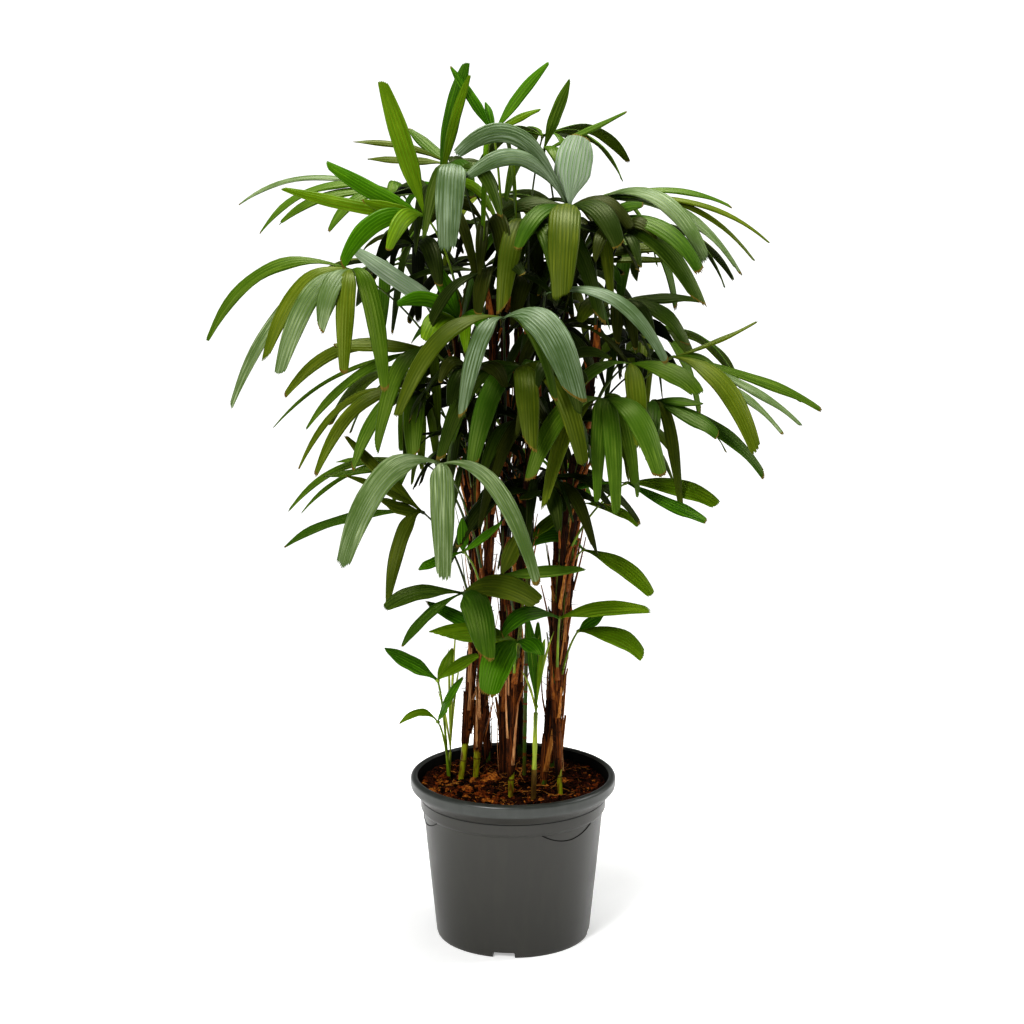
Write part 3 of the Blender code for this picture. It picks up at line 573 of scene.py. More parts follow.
@dataclass(frozen=True)
class BarkFinish(Finish):
    """Bark and peat of a potting mix: damp, crumbly and rough, with flecks of other browns."""

    fleck: str = "#1a0d07"
    fleck_mm: float = 3.0
    depth_mm: float = 0.9

    def make(self) -> bpy.types.Material:
        """Returns the mix material: flecks in colour, crumbs in bump."""
        paint = self.start()
        flecks = paint.noise((self.fleck_mm,) * 3, 4.0, 0.38, 0.62)
        paint.colours(flecks, self.fleck, self.colour)
        paint.bump(flecks, self.depth_mm)
        return paint.material


@dataclass(frozen=True)
class PotFinish(Finish):
    """Recycled polypropylene, blow-moulded: dull satin with a fine grain and faint scuffs."""

    scuff: str = "#62666b"
    scuff_mm: tuple[float, float, float] = (14.0, 14.0, 60.0)
    grain_mm: float = 0.9

    def make(self) -> bpy.types.Material:
        """Returns the plastic: fine grain in the bump, long upright scuffs in the colour."""
        paint = self.start()
        scuffs = paint.noise(self.scuff_mm, 4.0, 0.45, 0.90)
        paint.colours(scuffs, self.colour, self.scuff)
        paint.roughness(scuffs, self.roughness, self.roughness + 0.10)
        paint.bump(paint.noise((self.grain_mm,) * 3, 2.0), 0.05, 0.6)
        return paint.material


@dataclass(frozen=True)
class TableFinish(PotFinish):
    """Matte white acrylic, lit a little from below as a light table is."""

    glow: float = 0.34

    def make(self) -> bpy.types.Material:
        """Returns the acrylic, with its glow set on the shader's own sockets."""
        material = super().make()
        shader = material.node_tree.nodes["Principled BSDF"]
        shader.inputs["Emission Color"].default_value = (1.0, 1.0, 1.0, 1.0)
        shader.inputs["Emission Strength"].default_value = self.glow
        return material


@cache
def material_of(finish: Finish) -> bpy.types.Material:
    """Returns the finish's material, which is made once."""
    return finish.make()


LEAF_TOPS: dict[Tint, tuple[Finish, ...]] = {
    # near-black greens for the crown's inside: painted shade
    Tint.SHADE: (
        LeafFinish("palm_leaf_shade", "#141e04", 0.42, 0.12, streak="#273209"),
        LeafFinish("palm_leaf_shade_green", "#1a2805", 0.42, 0.14, streak="#30410d"),
        LeafFinish("palm_leaf_shade_olive", "#1d2303", 0.44, 0.12, streak="#37380c"),
    ),
    Tint.DEEP: (
        LeafFinish("palm_leaf_deep", "#243707", 0.42, 0.18, streak="#4a5e16"),
        LeafFinish("palm_leaf_deep_green", "#284408", 0.40, 0.18, streak="#4f6d18"),
        LeafFinish("palm_leaf_deep_olive", "#333f06", 0.42, 0.18, streak="#5f6615"),
    ),
    Tint.MID: (
        LeafFinish("palm_leaf_mid", "#334c08", 0.42, 0.18, streak="#5e761c"),
        LeafFinish("palm_leaf_mid_green", "#385410", 0.40, 0.18, streak="#68802c"),
        LeafFinish("palm_leaf_mid_olive", "#435107", 0.42, 0.18, streak="#747a22"),
    ),
    Tint.YOUNG: (
        LeafFinish("palm_leaf_young", "#264b04", 0.40, 0.15, streak="#4c780f"),
        LeafFinish("palm_leaf_young_bright", "#305703", 0.40, 0.15, streak="#5a8412"),
        LeafFinish("palm_leaf_young_yellow", "#475f04", 0.42, 0.15, streak="#7a921a"),
    ),
}
# pale grey-green tops that stand for the sheen of light on these leaflets: painted sheen
LEAF_PAINTED_SHEEN: dict[Tint, Finish] = {
    Tint.DEEP: LeafFinish("palm_leaf_deep_bloom", "#31461f", 0.50, 0.42, "#e8f0dc", streak="#96a68c"),
    Tint.MID: LeafFinish("palm_leaf_mid_bloom", "#3f5424", 0.50, 0.42, "#e8f0d4", streak="#a6b28c"),
    Tint.YOUNG: LeafFinish("palm_leaf_young_bloom", "#6f7d66", 0.48, 0.42, "#e8f0e4", streak="#b4bca8"),
}
# the shade and deep undersides are darker than their tops: painted shade on the leaves' lower sides
LEAF_UNDERS: dict[Tint, Finish] = {
    Tint.SHADE: LeafFinish("palm_leaf_shade_underside", "#0f1603", 0.60, 0.06, streak="#1c2508"),
    Tint.DEEP: LeafFinish("palm_leaf_deep_underside", "#1e2a04", 0.55, 0.08, streak="#34430e"),
    Tint.MID: LeafFinish("palm_leaf_mid_underside", "#334305", 0.55, 0.08, streak="#506214"),
    Tint.YOUNG: LeafFinish("palm_leaf_young_underside", "#476a05", 0.55, 0.10, streak="#668816"),
}
# the crests on a leaflet's top are paler than its top: partly the ribs' own paler green, partly painted
# highlight where the crests catch the light
LEAF_RIBS: dict[Tint, Finish] = {
    Tint.SHADE: LeafFinish("palm_rib_shade", "#26330a", 0.42, 0.15, streak="#3c4a18"),
    Tint.DEEP: LeafFinish("palm_rib_deep", "#33450f", 0.40, 0.18, streak="#5a6a26"),
    Tint.MID: LeafFinish("palm_rib_mid", "#495e16", 0.40, 0.18, streak="#7c8c3e"),
    Tint.YOUNG: LeafFinish("palm_rib_young", "#46740b", 0.40, 0.16, streak="#709a20"),
}
LEAF_TIP = LeafFinish("palm_leaf_dry_tip", "#57491a", 0.60, 0.12, streak="#7c6a34")
STALKS: dict[Tint, Finish] = {
    # near-black stalks for the inner fans: painted shade
    Tint.SHADE: StalkFinish("palm_stalk_shade", "#161c05", 0.45, 0.15, shade="#0b0f02"),
    Tint.DEEP: StalkFinish("palm_stalk_dark", "#2b3a08", 0.40, 0.25, shade="#161e03"),
    Tint.MID: StalkFinish("palm_stalk_green", "#43560c", 0.40, 0.25, shade="#252f05"),
    Tint.YOUNG: StalkFinish("palm_stalk_young", "#72891a", 0.40, 0.25, shade="#475e0a"),
}
SPEAR = StalkFinish("palm_spear_pale", "#98a536", 0.42, 0.25, shade="#6b7c18")
FIBRES = (
    FibreFinish("palm_fibre_dark", "#3a1d0a", 0.85, 0.10, gap="#120703"),
    FibreFinish("palm_fibre_brown", "#65340f", 0.80, 0.12, gap="#2c1406"),
    FibreFinish("palm_fibre_russet", "#7c4516", 0.74, 0.14, gap="#43200b"),
)
SHEATHS = (
    FibreFinish("palm_sheath_tan", "#b27a34", 0.60, 0.18, gap="#804a18", depth_mm=0.2),
    FibreFinish("palm_sheath_orange", "#94581f", 0.64, 0.16, gap="#60300e", depth_mm=0.2),
    FibreFinish("palm_sheath_green", "#667018", 0.52, 0.22, gap="#38420a", depth_mm=0.2),
    FibreFinish("palm_sheath_pale", "#b98c5e", 0.60, 0.18, gap="#84512a", depth_mm=0.2),
)
HAIR = FibreFinish("palm_hair_dark", "#1f1006", 0.75, 0.10, gap="#080401", depth_mm=0.05)
CULM = CulmFinish("palm_cane_rind", "#858c12", 0.36, 0.25, stain="#5c3f10")
CULM_GREEN = CulmFinish("palm_cane_rind_green", "#375312", 0.36, 0.22, stain="#463c10")
CULM_RING = CulmFinish("palm_cane_ring", "#5b4611", 0.55, 0.15, stain="#3a260a")
CULM_SCAR = CulmFinish("palm_cane_scar", "#66300f", 0.55, 0.15, stain="#4a3a12")
SOIL = BarkFinish("potting_mix_peat", "#3c1906", 0.92, 0.08, fleck="#100602", fleck_mm=1.6)
CHIPS = (
    BarkFinish("pine_bark_dark", "#4a1f08", 0.88, 0.10, fleck="#170803"),
    BarkFinish("pine_bark_red", "#8a4310", 0.85, 0.12, fleck="#391505"),
    BarkFinish("pine_bark_orange", "#c0762a", 0.82, 0.12, fleck="#6a3410"),
    BarkFinish("peat_crumb_black", "#1c0b03", 0.95, 0.06, fleck="#080301"),
)
ROOT = BarkFinish("palm_root_dry", "#a8722f", 0.75, 0.15, fleck="#764816", fleck_mm=5.0)
PLASTIC = PotFinish("polypropylene_grey", "#24231d", 0.36, 0.52, scuff="#2b2a23")
# a lighter copy of the grey plastic for the lip: painted light on the lip
PLASTIC_LIP_PAINTED_LIGHT = PotFinish("polypropylene_grey_lip", "#30332f", 0.36, 0.56, scuff="#3d403c")
# a near-black copy of the plastic for the inside and the moulded lines: painted shade
PLASTIC_PAINTED_SHADE = PotFinish("polypropylene_inside", "#0a0a09", 0.60, 0.15, scuff="#191510")
FLOOR = TableFinish("light_table_acrylic", "#f7f7f6", 0.90, 0.05, scuff="#f3f3f1")


@dataclass
class MeshStore:
    """Gathers many small shapes, whose faces each know their finish, into one mesh."""

    name: str
    points: list[Vec] = field(default_factory=list)
    faces: list[list[int]] = field(default_factory=list)
    finishes: list[Finish] = field(default_factory=list)
    face_slots: list[int] = field(default_factory=list)
    maps: list[Vec] = field(default_factory=list)
    count: int = 0

    def slot_of(self, finish: Finish) -> int:
        """Returns the finish's number in this mesh, adding it when it is new.

        Args:
            finish: the finish of a face.

        Returns:
            Its number.
        """
        if finish not in self.finishes:
            self.finishes.append(finish)
        return self.finishes.index(finish)

    def add(self, points: Vec, faces: Sequence[Sequence[int]], *finishes: Finish,
            which: Vec | None = None, uv: Vec | None = None) -> None:
        """Adds one shape.

        Args:
            points: its points, one row each.
            faces: its faces' corners.
            finishes: its finish, or its finishes where which is given.
            which: the number of each face's finish.
            uv: the blade's map at each point, in metres.
        """
        slots = np.array([self.slot_of(finish) for finish in finishes])
        which = np.zeros(len(faces), int) if which is None else which
        self.points.append(points)
        self.maps.append(np.zeros((len(points), 2)) if uv is None else uv)
        self.faces += [[corner + self.count for corner in face] for face in faces]
        self.face_slots += slots[which].tolist()
        self.count += len(points)

    def build(self) -> bpy.types.Object:
        """Makes the joined mesh as a smooth object at the origin."""
        mesh = bpy.data.meshes.new(self.name)
        mesh.from_pydata(np.concatenate(self.points).tolist(), [], self.faces)
        for finish in self.finishes:
            mesh.materials.append(material_of(finish))
        mesh.polygons.foreach_set("material_index", self.face_slots)
        mesh.polygons.foreach_set("use_smooth", [True] * len(mesh.polygons))
        corners = np.zeros(len(mesh.loops), np.int32)
        mesh.loops.foreach_get("vertex_index", corners)
        layer = mesh.uv_layers.new(name=BLADE_MAP)
        layer.data.foreach_set("uv", np.concatenate(self.maps)[corners].ravel())
        mesh.update()
        thing = bpy.data.objects.new(self.name, mesh)
        bpy.context.scene.collection.objects.link(thing)
        return thing


def deselect() -> None:
    """Clears the selection, so that an operator acts on the next primitive alone."""
    bpy.ops.object.select_all(action="DESELECT")


def select_only(thing: bpy.types.Object) -> None:
    """Makes the object the one that operators act on.

    Args:
        thing: the object that the next operator acts on.
    """
    deselect()
    thing.select_set(True)
    bpy.context.view_layer.objects.active = thing


def keep(thing: bpy.types.Object, slot: str, *nodes: str) -> None:
    """Sets a piece on the root body, in place of the nodes that it stands for.

    Args:
        thing: the finished piece.
        slot: the name of the record's material slot; not used.
        nodes: the frame's nodes that it replaces.
    """
    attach(thing, BODY)
    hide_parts(*nodes)
    faces = sum(len(face.vertices) - 2 for face in thing.data.polygons)
    LOG.info("%s: %d triangles, stands for %d nodes", thing.name, faces, len(nodes))


def unit(vectors: Vec) -> Vec:
    """Returns the vectors at a length of one, row by row."""
    return vectors / np.maximum(np.linalg.norm(vectors, axis=-1, keepdims=True), 1e-9)


def bend(line: Sequence[Vec], shares: Vec) -> Vec:
    """Returns points at shares of the curve that leaves a start towards a control point.

    Args:
        line: the start, the control point and the end.
        shares: how far along each point is, from 0 to 1.

    Returns:
        One row for each share.
    """
    start, control, end = (np.asarray(p, float) for p in line)
    share = np.asarray(shares, float)[:, None]
    rest = 1.0 - share
    return rest * rest * start + 2 * rest * share * control + share * share * end


def frames_along(points: Vec, across: Vec) -> tuple[Vec, Vec, Vec]:
    """Carries a sideways direction along a line without turning it about the line.

    Args:
        points: the line, one row for each point.
        across: the sideways direction at its start.

    Returns:
        The ways along, across and up at each point.
    """
    along = unit(np.gradient(points, axis=0))
    sides = np.zeros_like(points)
    side = across
    for index, way in enumerate(along):
        side = side - np.dot(side, way) * way
        side = side / max(np.linalg.norm(side), 1e-9)
        sides[index] = side
    return along, sides, np.cross(sides, along)


def round_angles(sides: int) -> Vec:
    """Returns the angles of points set evenly round a circle."""
    return np.arange(sides) * 2 * math.pi / sides


def level_way(angle: float) -> Vec:
    """Returns the level unit vector at an angle from +X."""
    return np.array((math.cos(angle), math.sin(angle), 0.0))


def ring_faces(rows: int, sides: int) -> list[list[int]]:
    """Joins rings of points with walls, and closes both ends with a fan of triangles.

    Args:
        rows: how many rings there are.
        sides: how many points each ring has.  The first and last middle follow them.

    Returns:
        The faces: the walls row by row, then the first end and the last end.
    """
    here = np.arange(sides)
    after = (here + 1) % sides
    start = np.arange(rows - 1)[:, None] * sides
    walls = np.stack([start + here, start + sides + here, start + sides + after, start + after], -1)
    last, foot = (rows - 1) * sides, rows * sides
    low = np.stack([np.full(sides, foot), here, after], -1)
    high = np.stack([np.full(sides, foot + 1), last + after, last + here], -1)
    return walls.reshape(-1, 4).tolist() + low.tolist() + high.tolist()


def rows_of(faces: list[list[int]], sides: int) -> Vec:
    """Returns the number of the ring that each of a tube's faces starts from."""
    return np.array([min(face) // sides for face in faces])


def tube(
    points: Vec, radii: Vec, sides: int, flat: float = 1.0, across: Vec | None = None
) -> tuple[Vec, list[list[int]]]:
    """Makes a tube along a line, closed at both ends.

    Args:
        points: the line, one row for each point.
        radii: one radius for each point, or one row of radii with one for each side.
        sides: how many sides the tube has.
        flat: the depth of its section as a share of its width.
        across: the way that its width lies, or None for any.

    Returns:
        Its points and its faces, which point outwards.
    """
    if across is None:
        across = np.cross(points[1] - points[0], (0.0, 1.0, 0.3))
    _, side, up = frames_along(points, across)
    angle = round_angles(sides)[:, None]
    radii = np.asarray(radii, float)
    if radii.ndim == 1:
        radii = np.repeat(radii[:, None], sides, axis=1)
    ring = side[:, None] * np.cos(angle) + up[:, None] * np.sin(angle) * flat
    body = (points[:, None] + ring * radii[..., None]).reshape(-1, 3)
    return np.vstack([body, points[0], points[-1]]), ring_faces(len(points), sides)


class NodeSurface:
    """The surface of one of the frame's nodes, for finding how its pieces were set."""

    def __init__(self, node: bpy.types.Object) -> None:
        """Reads the node's triangles into a search tree.

        Args:
            node: the frame's object.
        """
        mesh = node.data
        self.tree = BVHTree.FromPolygons(
            [v.co.copy() for v in mesh.vertices], [tuple(p.vertices) for p in mesh.polygons])

    def away(self, points: Vec) -> float:
        """Returns how far the furthest of the points lies from the surface."""
        return max(self.tree.find_nearest(Vector(point))[3] for point in points)


def by_size(*choices: Sequence[float]) -> list[tuple[float, ...]]:
    """Returns every mix of the choices, the least changed first."""
    mixes: list[tuple[int, ...]] = [()]
    for row in choices:
        mixes = [mix + (index,) for mix in mixes for index in range(len(row))]
    mixes.sort(key=lambda mix: (sum(mix), mix))
    return [tuple(row[i] for row, i in zip(choices, mix)) for mix in mixes]


def turned(vector: Vec, degrees: float) -> Vec:
    """Returns the vector turned about the upright."""
    return np.array(Matrix.Rotation(math.radians(degrees), 3, "Z") @ Vector(vector))


def face_direction(face: tuple[float, float]) -> Vec:
    """Returns the unit way that a fan's upper side faces.

    Args:
        face: the heading and the lift, in degrees.

    Returns:
        The unit vector.
    """
    heading, elevation = (math.radians(angle) for angle in face)
    level = math.cos(elevation)
    return np.array((math.sin(heading) * level, -math.cos(heading) * level, math.sin(elevation)))


def leaflet_line(hub: Vec, run: Vec, arch: float) -> tuple[Vec, Vec, Vec]:
    """Returns the start, control point and end of a leaflet's middle line.

    Args:
        hub: where the leaflet starts.
        run: the way from there to its tip.
        arch: how high it arches first.

    Returns:
        The three points of its curve.
    """
    control = (LEAFLET_RISING if run[2] >= 0 else LEAFLET_FALLING) * run + (0.0, 0.0, arch)
    return hub, hub + control, hub + run


@dataclass(frozen=True)
class CanePath:
    """Where a cane runs, by the frame's rule."""

    cane: Cane

    @property
    def top(self) -> float:
        """The height of its tip."""
        return self.cane.top[2] * CM

    def share(self, height: float) -> float:
        """Returns how far up the cane a height is, from 0 at the mix to 1 at its tip."""
        return (height - SOIL_LEVEL) / (self.top - SOIL_LEVEL)

    def point(self, share: float) -> Vec:
        """Returns the cane's middle at a share of its height, by a curve through its waist.

        Args:
            share: the share of the cane's height.

        Returns:
            The point.
        """
        foot = np.array((*self.cane.foot, SOIL_LEVEL / CM)) * CM
        waist = np.array(self.cane.waist) * CM
        top = np.array(self.cane.top) * CM
        middle = (waist[2] - foot[2]) / (top[2] - foot[2])
        control = (waist - (1 - middle) ** 2 * foot - middle ** 2 * top) / (2 * middle * (1 - middle))
        spot = bend((foot, control, top), np.array([share]))[0]
        return np.array((spot[0], spot[1], foot[2] + (top[2] - foot[2]) * share))

    def radius(self, share: float) -> float:
        """Returns the cane's radius: slimmer at its bare foot and at its tip.

        Args:
            share: the share of the cane's height.

        Returns:
            The radius in metres.
        """
        full = self.cane.thickness * MM / 2
        if share < CANE_FOOT_REACH:
            return full * (CANE_FOOT_SHARE + (1 - CANE_FOOT_SHARE) * share / CANE_FOOT_REACH)
        return full * (1 - (1 - CANE_TOP_SHARE) * (share - CANE_FOOT_REACH) / (1 - CANE_FOOT_REACH))

    def stalk_start(self, hub: Vec, shift: float, swing: float) -> Vec:
        """Returns where a stalk leaves the cane's side.

        Args:
            hub: the stalk's far end.
            shift: how far up the cane it is moved.
            swing: how far round the cane it is turned, in degrees.

        Returns:
            The middle of the stalk's base.
        """
        run = np.linalg.norm(hub[:2] - self.point(0.8)[:2])
        rise = max(STALK_RISE * run, STALK_LEAST_RISE)
        share = self.share(min(max(hub[2] - rise + shift, SOIL_LEVEL + 0.03), self.top - 0.01))
        core = self.point(share)
        away = unit(np.array((hub[0] - core[0], hub[1] - core[1], 0.0)))
        away = turned(away, swing)
        return core + away * (self.radius(share) + STALK_SEAT)


def stalk_line(start: Vec, hub: Vec, bulge: float) -> tuple[Vec, Vec, Vec]:
    """Returns the start, control point and end of a stalk's middle line.

    Args:
        start: its foot.
        hub: its far end.
        bulge: how far it bows sideways.

    Returns:
        The three points of its curve.
    """
    run = hub - start
    across = unit(np.array((-run[1], run[0], 0.0)))
    control = start + run * (STALK_LEAN, STALK_LEAN, STALK_LIFT) + across * bulge
    return start, control, hub


@dataclass
class Blade:
    """A flat leaflet with a number of pleats, which is bent along each leaflet's line.

    Its points are kept as u across from -1 to 1, v along from 0 to 1, and a side of
    plus or minus a half.  Each pleat is three columns wide, and crest is 0 in its valley.
    """

    ribs: int
    rows: int
    crest_share: float = 0.11
    tip_from: float = 0.986
    u: Vec = field(init=False)
    v: Vec = field(init=False)
    side: Vec = field(init=False)
    crest: Vec = field(init=False)
    end: Vec = field(init=False)
    faces: list[list[int]] = field(init=False)
    which: Vec = field(init=False)

    def __post_init__(self) -> None:
        """Models the flat blade as a grid with a thickness, and reads its arrays."""
        columns = 3 * self.ribs
        deselect()
        bpy.ops.mesh.primitive_grid_add(x_subdivisions=columns, y_subdivisions=self.rows, size=2.0)
        grid = bpy.context.object
        wall = grid.modifiers.new("Thickness", "SOLIDIFY")
        wall.thickness = 1.0
        wall.offset = 0.0
        bpy.ops.object.modifier_apply(modifier=wall.name)
        mesh = grid.data
        points = np.array([tuple(v.co) for v in mesh.vertices])
        column = np.rint((points[:, 0] + 1) / 2 * columns).astype(int)
        row = np.rint((points[:, 1] + 1) / 2 * self.rows).astype(int)
        valley = column % 3 == 0
        self.crest = np.where(valley, 0.0, 1.0)
        half = 1.0 / self.ribs
        middle = -1.0 + (2 * (column // 3) + 1) * half
        lean = np.where(column % 3 == 1, -self.crest_share, self.crest_share) * half
        self.u = np.where(valley, -1.0 + 2 * half * (column // 3), middle + lean)
        self.v = np.append(np.linspace(0.0, self.tip_from, self.rows), 1.0)[row]
        self.end = row == self.rows
        self.side = np.sign(points[:, 2]) * 0.5
        self.faces = [list(face.vertices) for face in mesh.polygons]
        self.which = np.array([self.finish_number(face, valley, row) for face in mesh.polygons])
        bpy.data.objects.remove(grid, do_unlink=True)

    def finish_number(self, face: bpy.types.MeshPolygon, valley: Vec, row: Vec) -> int:
        """Says which finish a face takes: 0 top, 1 crest, 2 underside, 3 dry tip.

        Args:
            face: the face.
            valley: says of each point whether it lies in a valley between pleats.
            row: the number of each point's row, from the root.

        Returns:
            The finish's number.
        """
        corners = list(face.vertices)
        if row[corners].min() == self.rows - 1:
            return 3
        if face.normal.z < -0.5:
            return 2
        # crest faces on the top side take the paler rib finish, which is partly painted highlight
        return 0 if valley[corners].any() or face.normal.z <= 0.5 else 1


@dataclass(frozen=True)
class Leaflet:
    """One leaflet to be laid: its line, the way it faces at its root, and its width.

    twist turns it about its line, wave is the height of its ripples, skew slants its
    end, teeth is how deeply its end is toothed and hue picks its green.
    """

    line: tuple[Vec, Vec, Vec]
    face: Vec
    width: float
    tint: Tint
    painted_sheen: bool
    twist: float
    wave: float
    skew: float
    teeth: float
    hue: int

    def finishes(self) -> tuple[Finish, Finish, Finish, Finish]:
        """Returns its top, crest, underside and dry tip."""
        greens = LEAF_TOPS[self.tint]
        top = LEAF_PAINTED_SHEEN[self.tint] if self.painted_sheen else greens[self.hue % len(greens)]
        return top, LEAF_RIBS[self.tint], LEAF_UNDERS[self.tint], LEAF_TIP if self.hue % 2 else top


@dataclass
class FanMaker:
    """Lays leaflets: each is a blade bent along the leaflet's line."""

    rib_spacing: float = 3.9 * MM
    least_ribs: int = 2
    most_ribs: int = 10
    thickness: float = 0.55 * MM
    pleat: float = 0.20
    root_pleat: float = 1.6
    dome: float = 0.20
    end_dome: float = 0.10
    short: float = 0.13
    rows_short: int = 13
    rows_long: int = 18
    track_steps: int = 40
    blades: dict[tuple[int, int], Blade] = field(default_factory=dict)

    def blade(self, width: float, length: float) -> Blade:
        """Returns the blade with about the right number of pleats for a width.

        Args:
            width: the leaflet's full width.
            length: the leaflet's length.

        Returns:
            The blade, which is modelled once.
        """
        ribs = min(max(round(width / self.rib_spacing), self.least_ribs), self.most_ribs)
        key = (ribs, self.rows_short if length < self.short else self.rows_long)
        if key not in self.blades:
            self.blades[key] = Blade(*key)
        return self.blades[key]

    def outline(self, v: Vec, width: float) -> Vec:
        """Returns the blade's width as a share of its full width, along it.

        Args:
            v: the shares of its length.
            width: its full width, which sets how blunt its end is.

        Returns:
            One share for each v.
        """
        rise = np.clip(v / 0.44, 0, 1)
        rise = rise * rise * (3 - 2 * rise)
        fall = np.clip((v - 0.66) / 0.34, 0, 1)
        blunt = min(max(width / 0.052, 0.28), 0.62)
        return (0.13 + 0.87 * rise) * (1 - (1 - blunt) * fall ** 1.5)

    def lay(self, store: MeshStore, leaflet: Leaflet) -> None:
        """Bends a blade along the leaflet's line and adds it to the store.

        Args:
            store: the mesh that takes it.
            leaflet: the leaflet to lay.
        """
        track = bend(leaflet.line, np.linspace(0, 1, self.track_steps + 1))
        length = np.linalg.norm(np.diff(track, axis=0), axis=1).sum()
        blade = self.blade(leaflet.width, length)
        u = blade.u
        ragged = leaflet.teeth / length * (blade.crest * 2 - 1) * (1 + np.sin(37 * u + leaflet.hue))
        slant = leaflet.skew * leaflet.width / length * u - self.end_dome * leaflet.width / length * u ** 2
        middle = bend(leaflet.line, blade.v + slant * blade.v ** 3 + np.where(blade.end, ragged, 0.0))
        root_way = unit(track[1] - track[0])
        _, sides, ups = frames_along(track, np.cross(root_way, leaflet.face))
        spot = np.clip(blade.v, 0, 1) * self.track_steps
        low = np.minimum(spot.astype(int), self.track_steps - 1)
        part = (spot - low)[:, None]
        side = unit(sides[low] * (1 - part) + sides[low + 1] * part)
        up = unit(ups[low] * (1 - part) + ups[low + 1] * part)
        turn = leaflet.twist * np.clip(blade.v - 0.25, 0, 1)[:, None]
        side, up = side * np.cos(turn) + up * np.sin(turn), up * np.cos(turn) - side * np.sin(turn)
        half = leaflet.width / 2 * self.outline(blade.v, leaflet.width)
        near_root = 1 + self.root_pleat * np.exp(-blade.v / 0.10)
        pleat = blade.crest * half / blade.ribs * self.pleat * 2 * near_root
        ripple = leaflet.wave * np.sin(9.0 * blade.v + 6 * leaflet.wave / MM) * blade.v
        edge = leaflet.wave * 0.8 * u ** 3 * np.sin(15.0 * blade.v + 2.0)
        lift = pleat + ripple + edge - self.dome * half * u ** 2 + blade.side * self.thickness
        points = middle + side * (u * half)[:, None] + up * lift[:, None]
        uv = np.stack([u * half + leaflet.hue * 0.37, blade.v * length], -1)
        store.add(points, blade.faces, *leaflet.finishes(), which=blade.which, uv=uv)


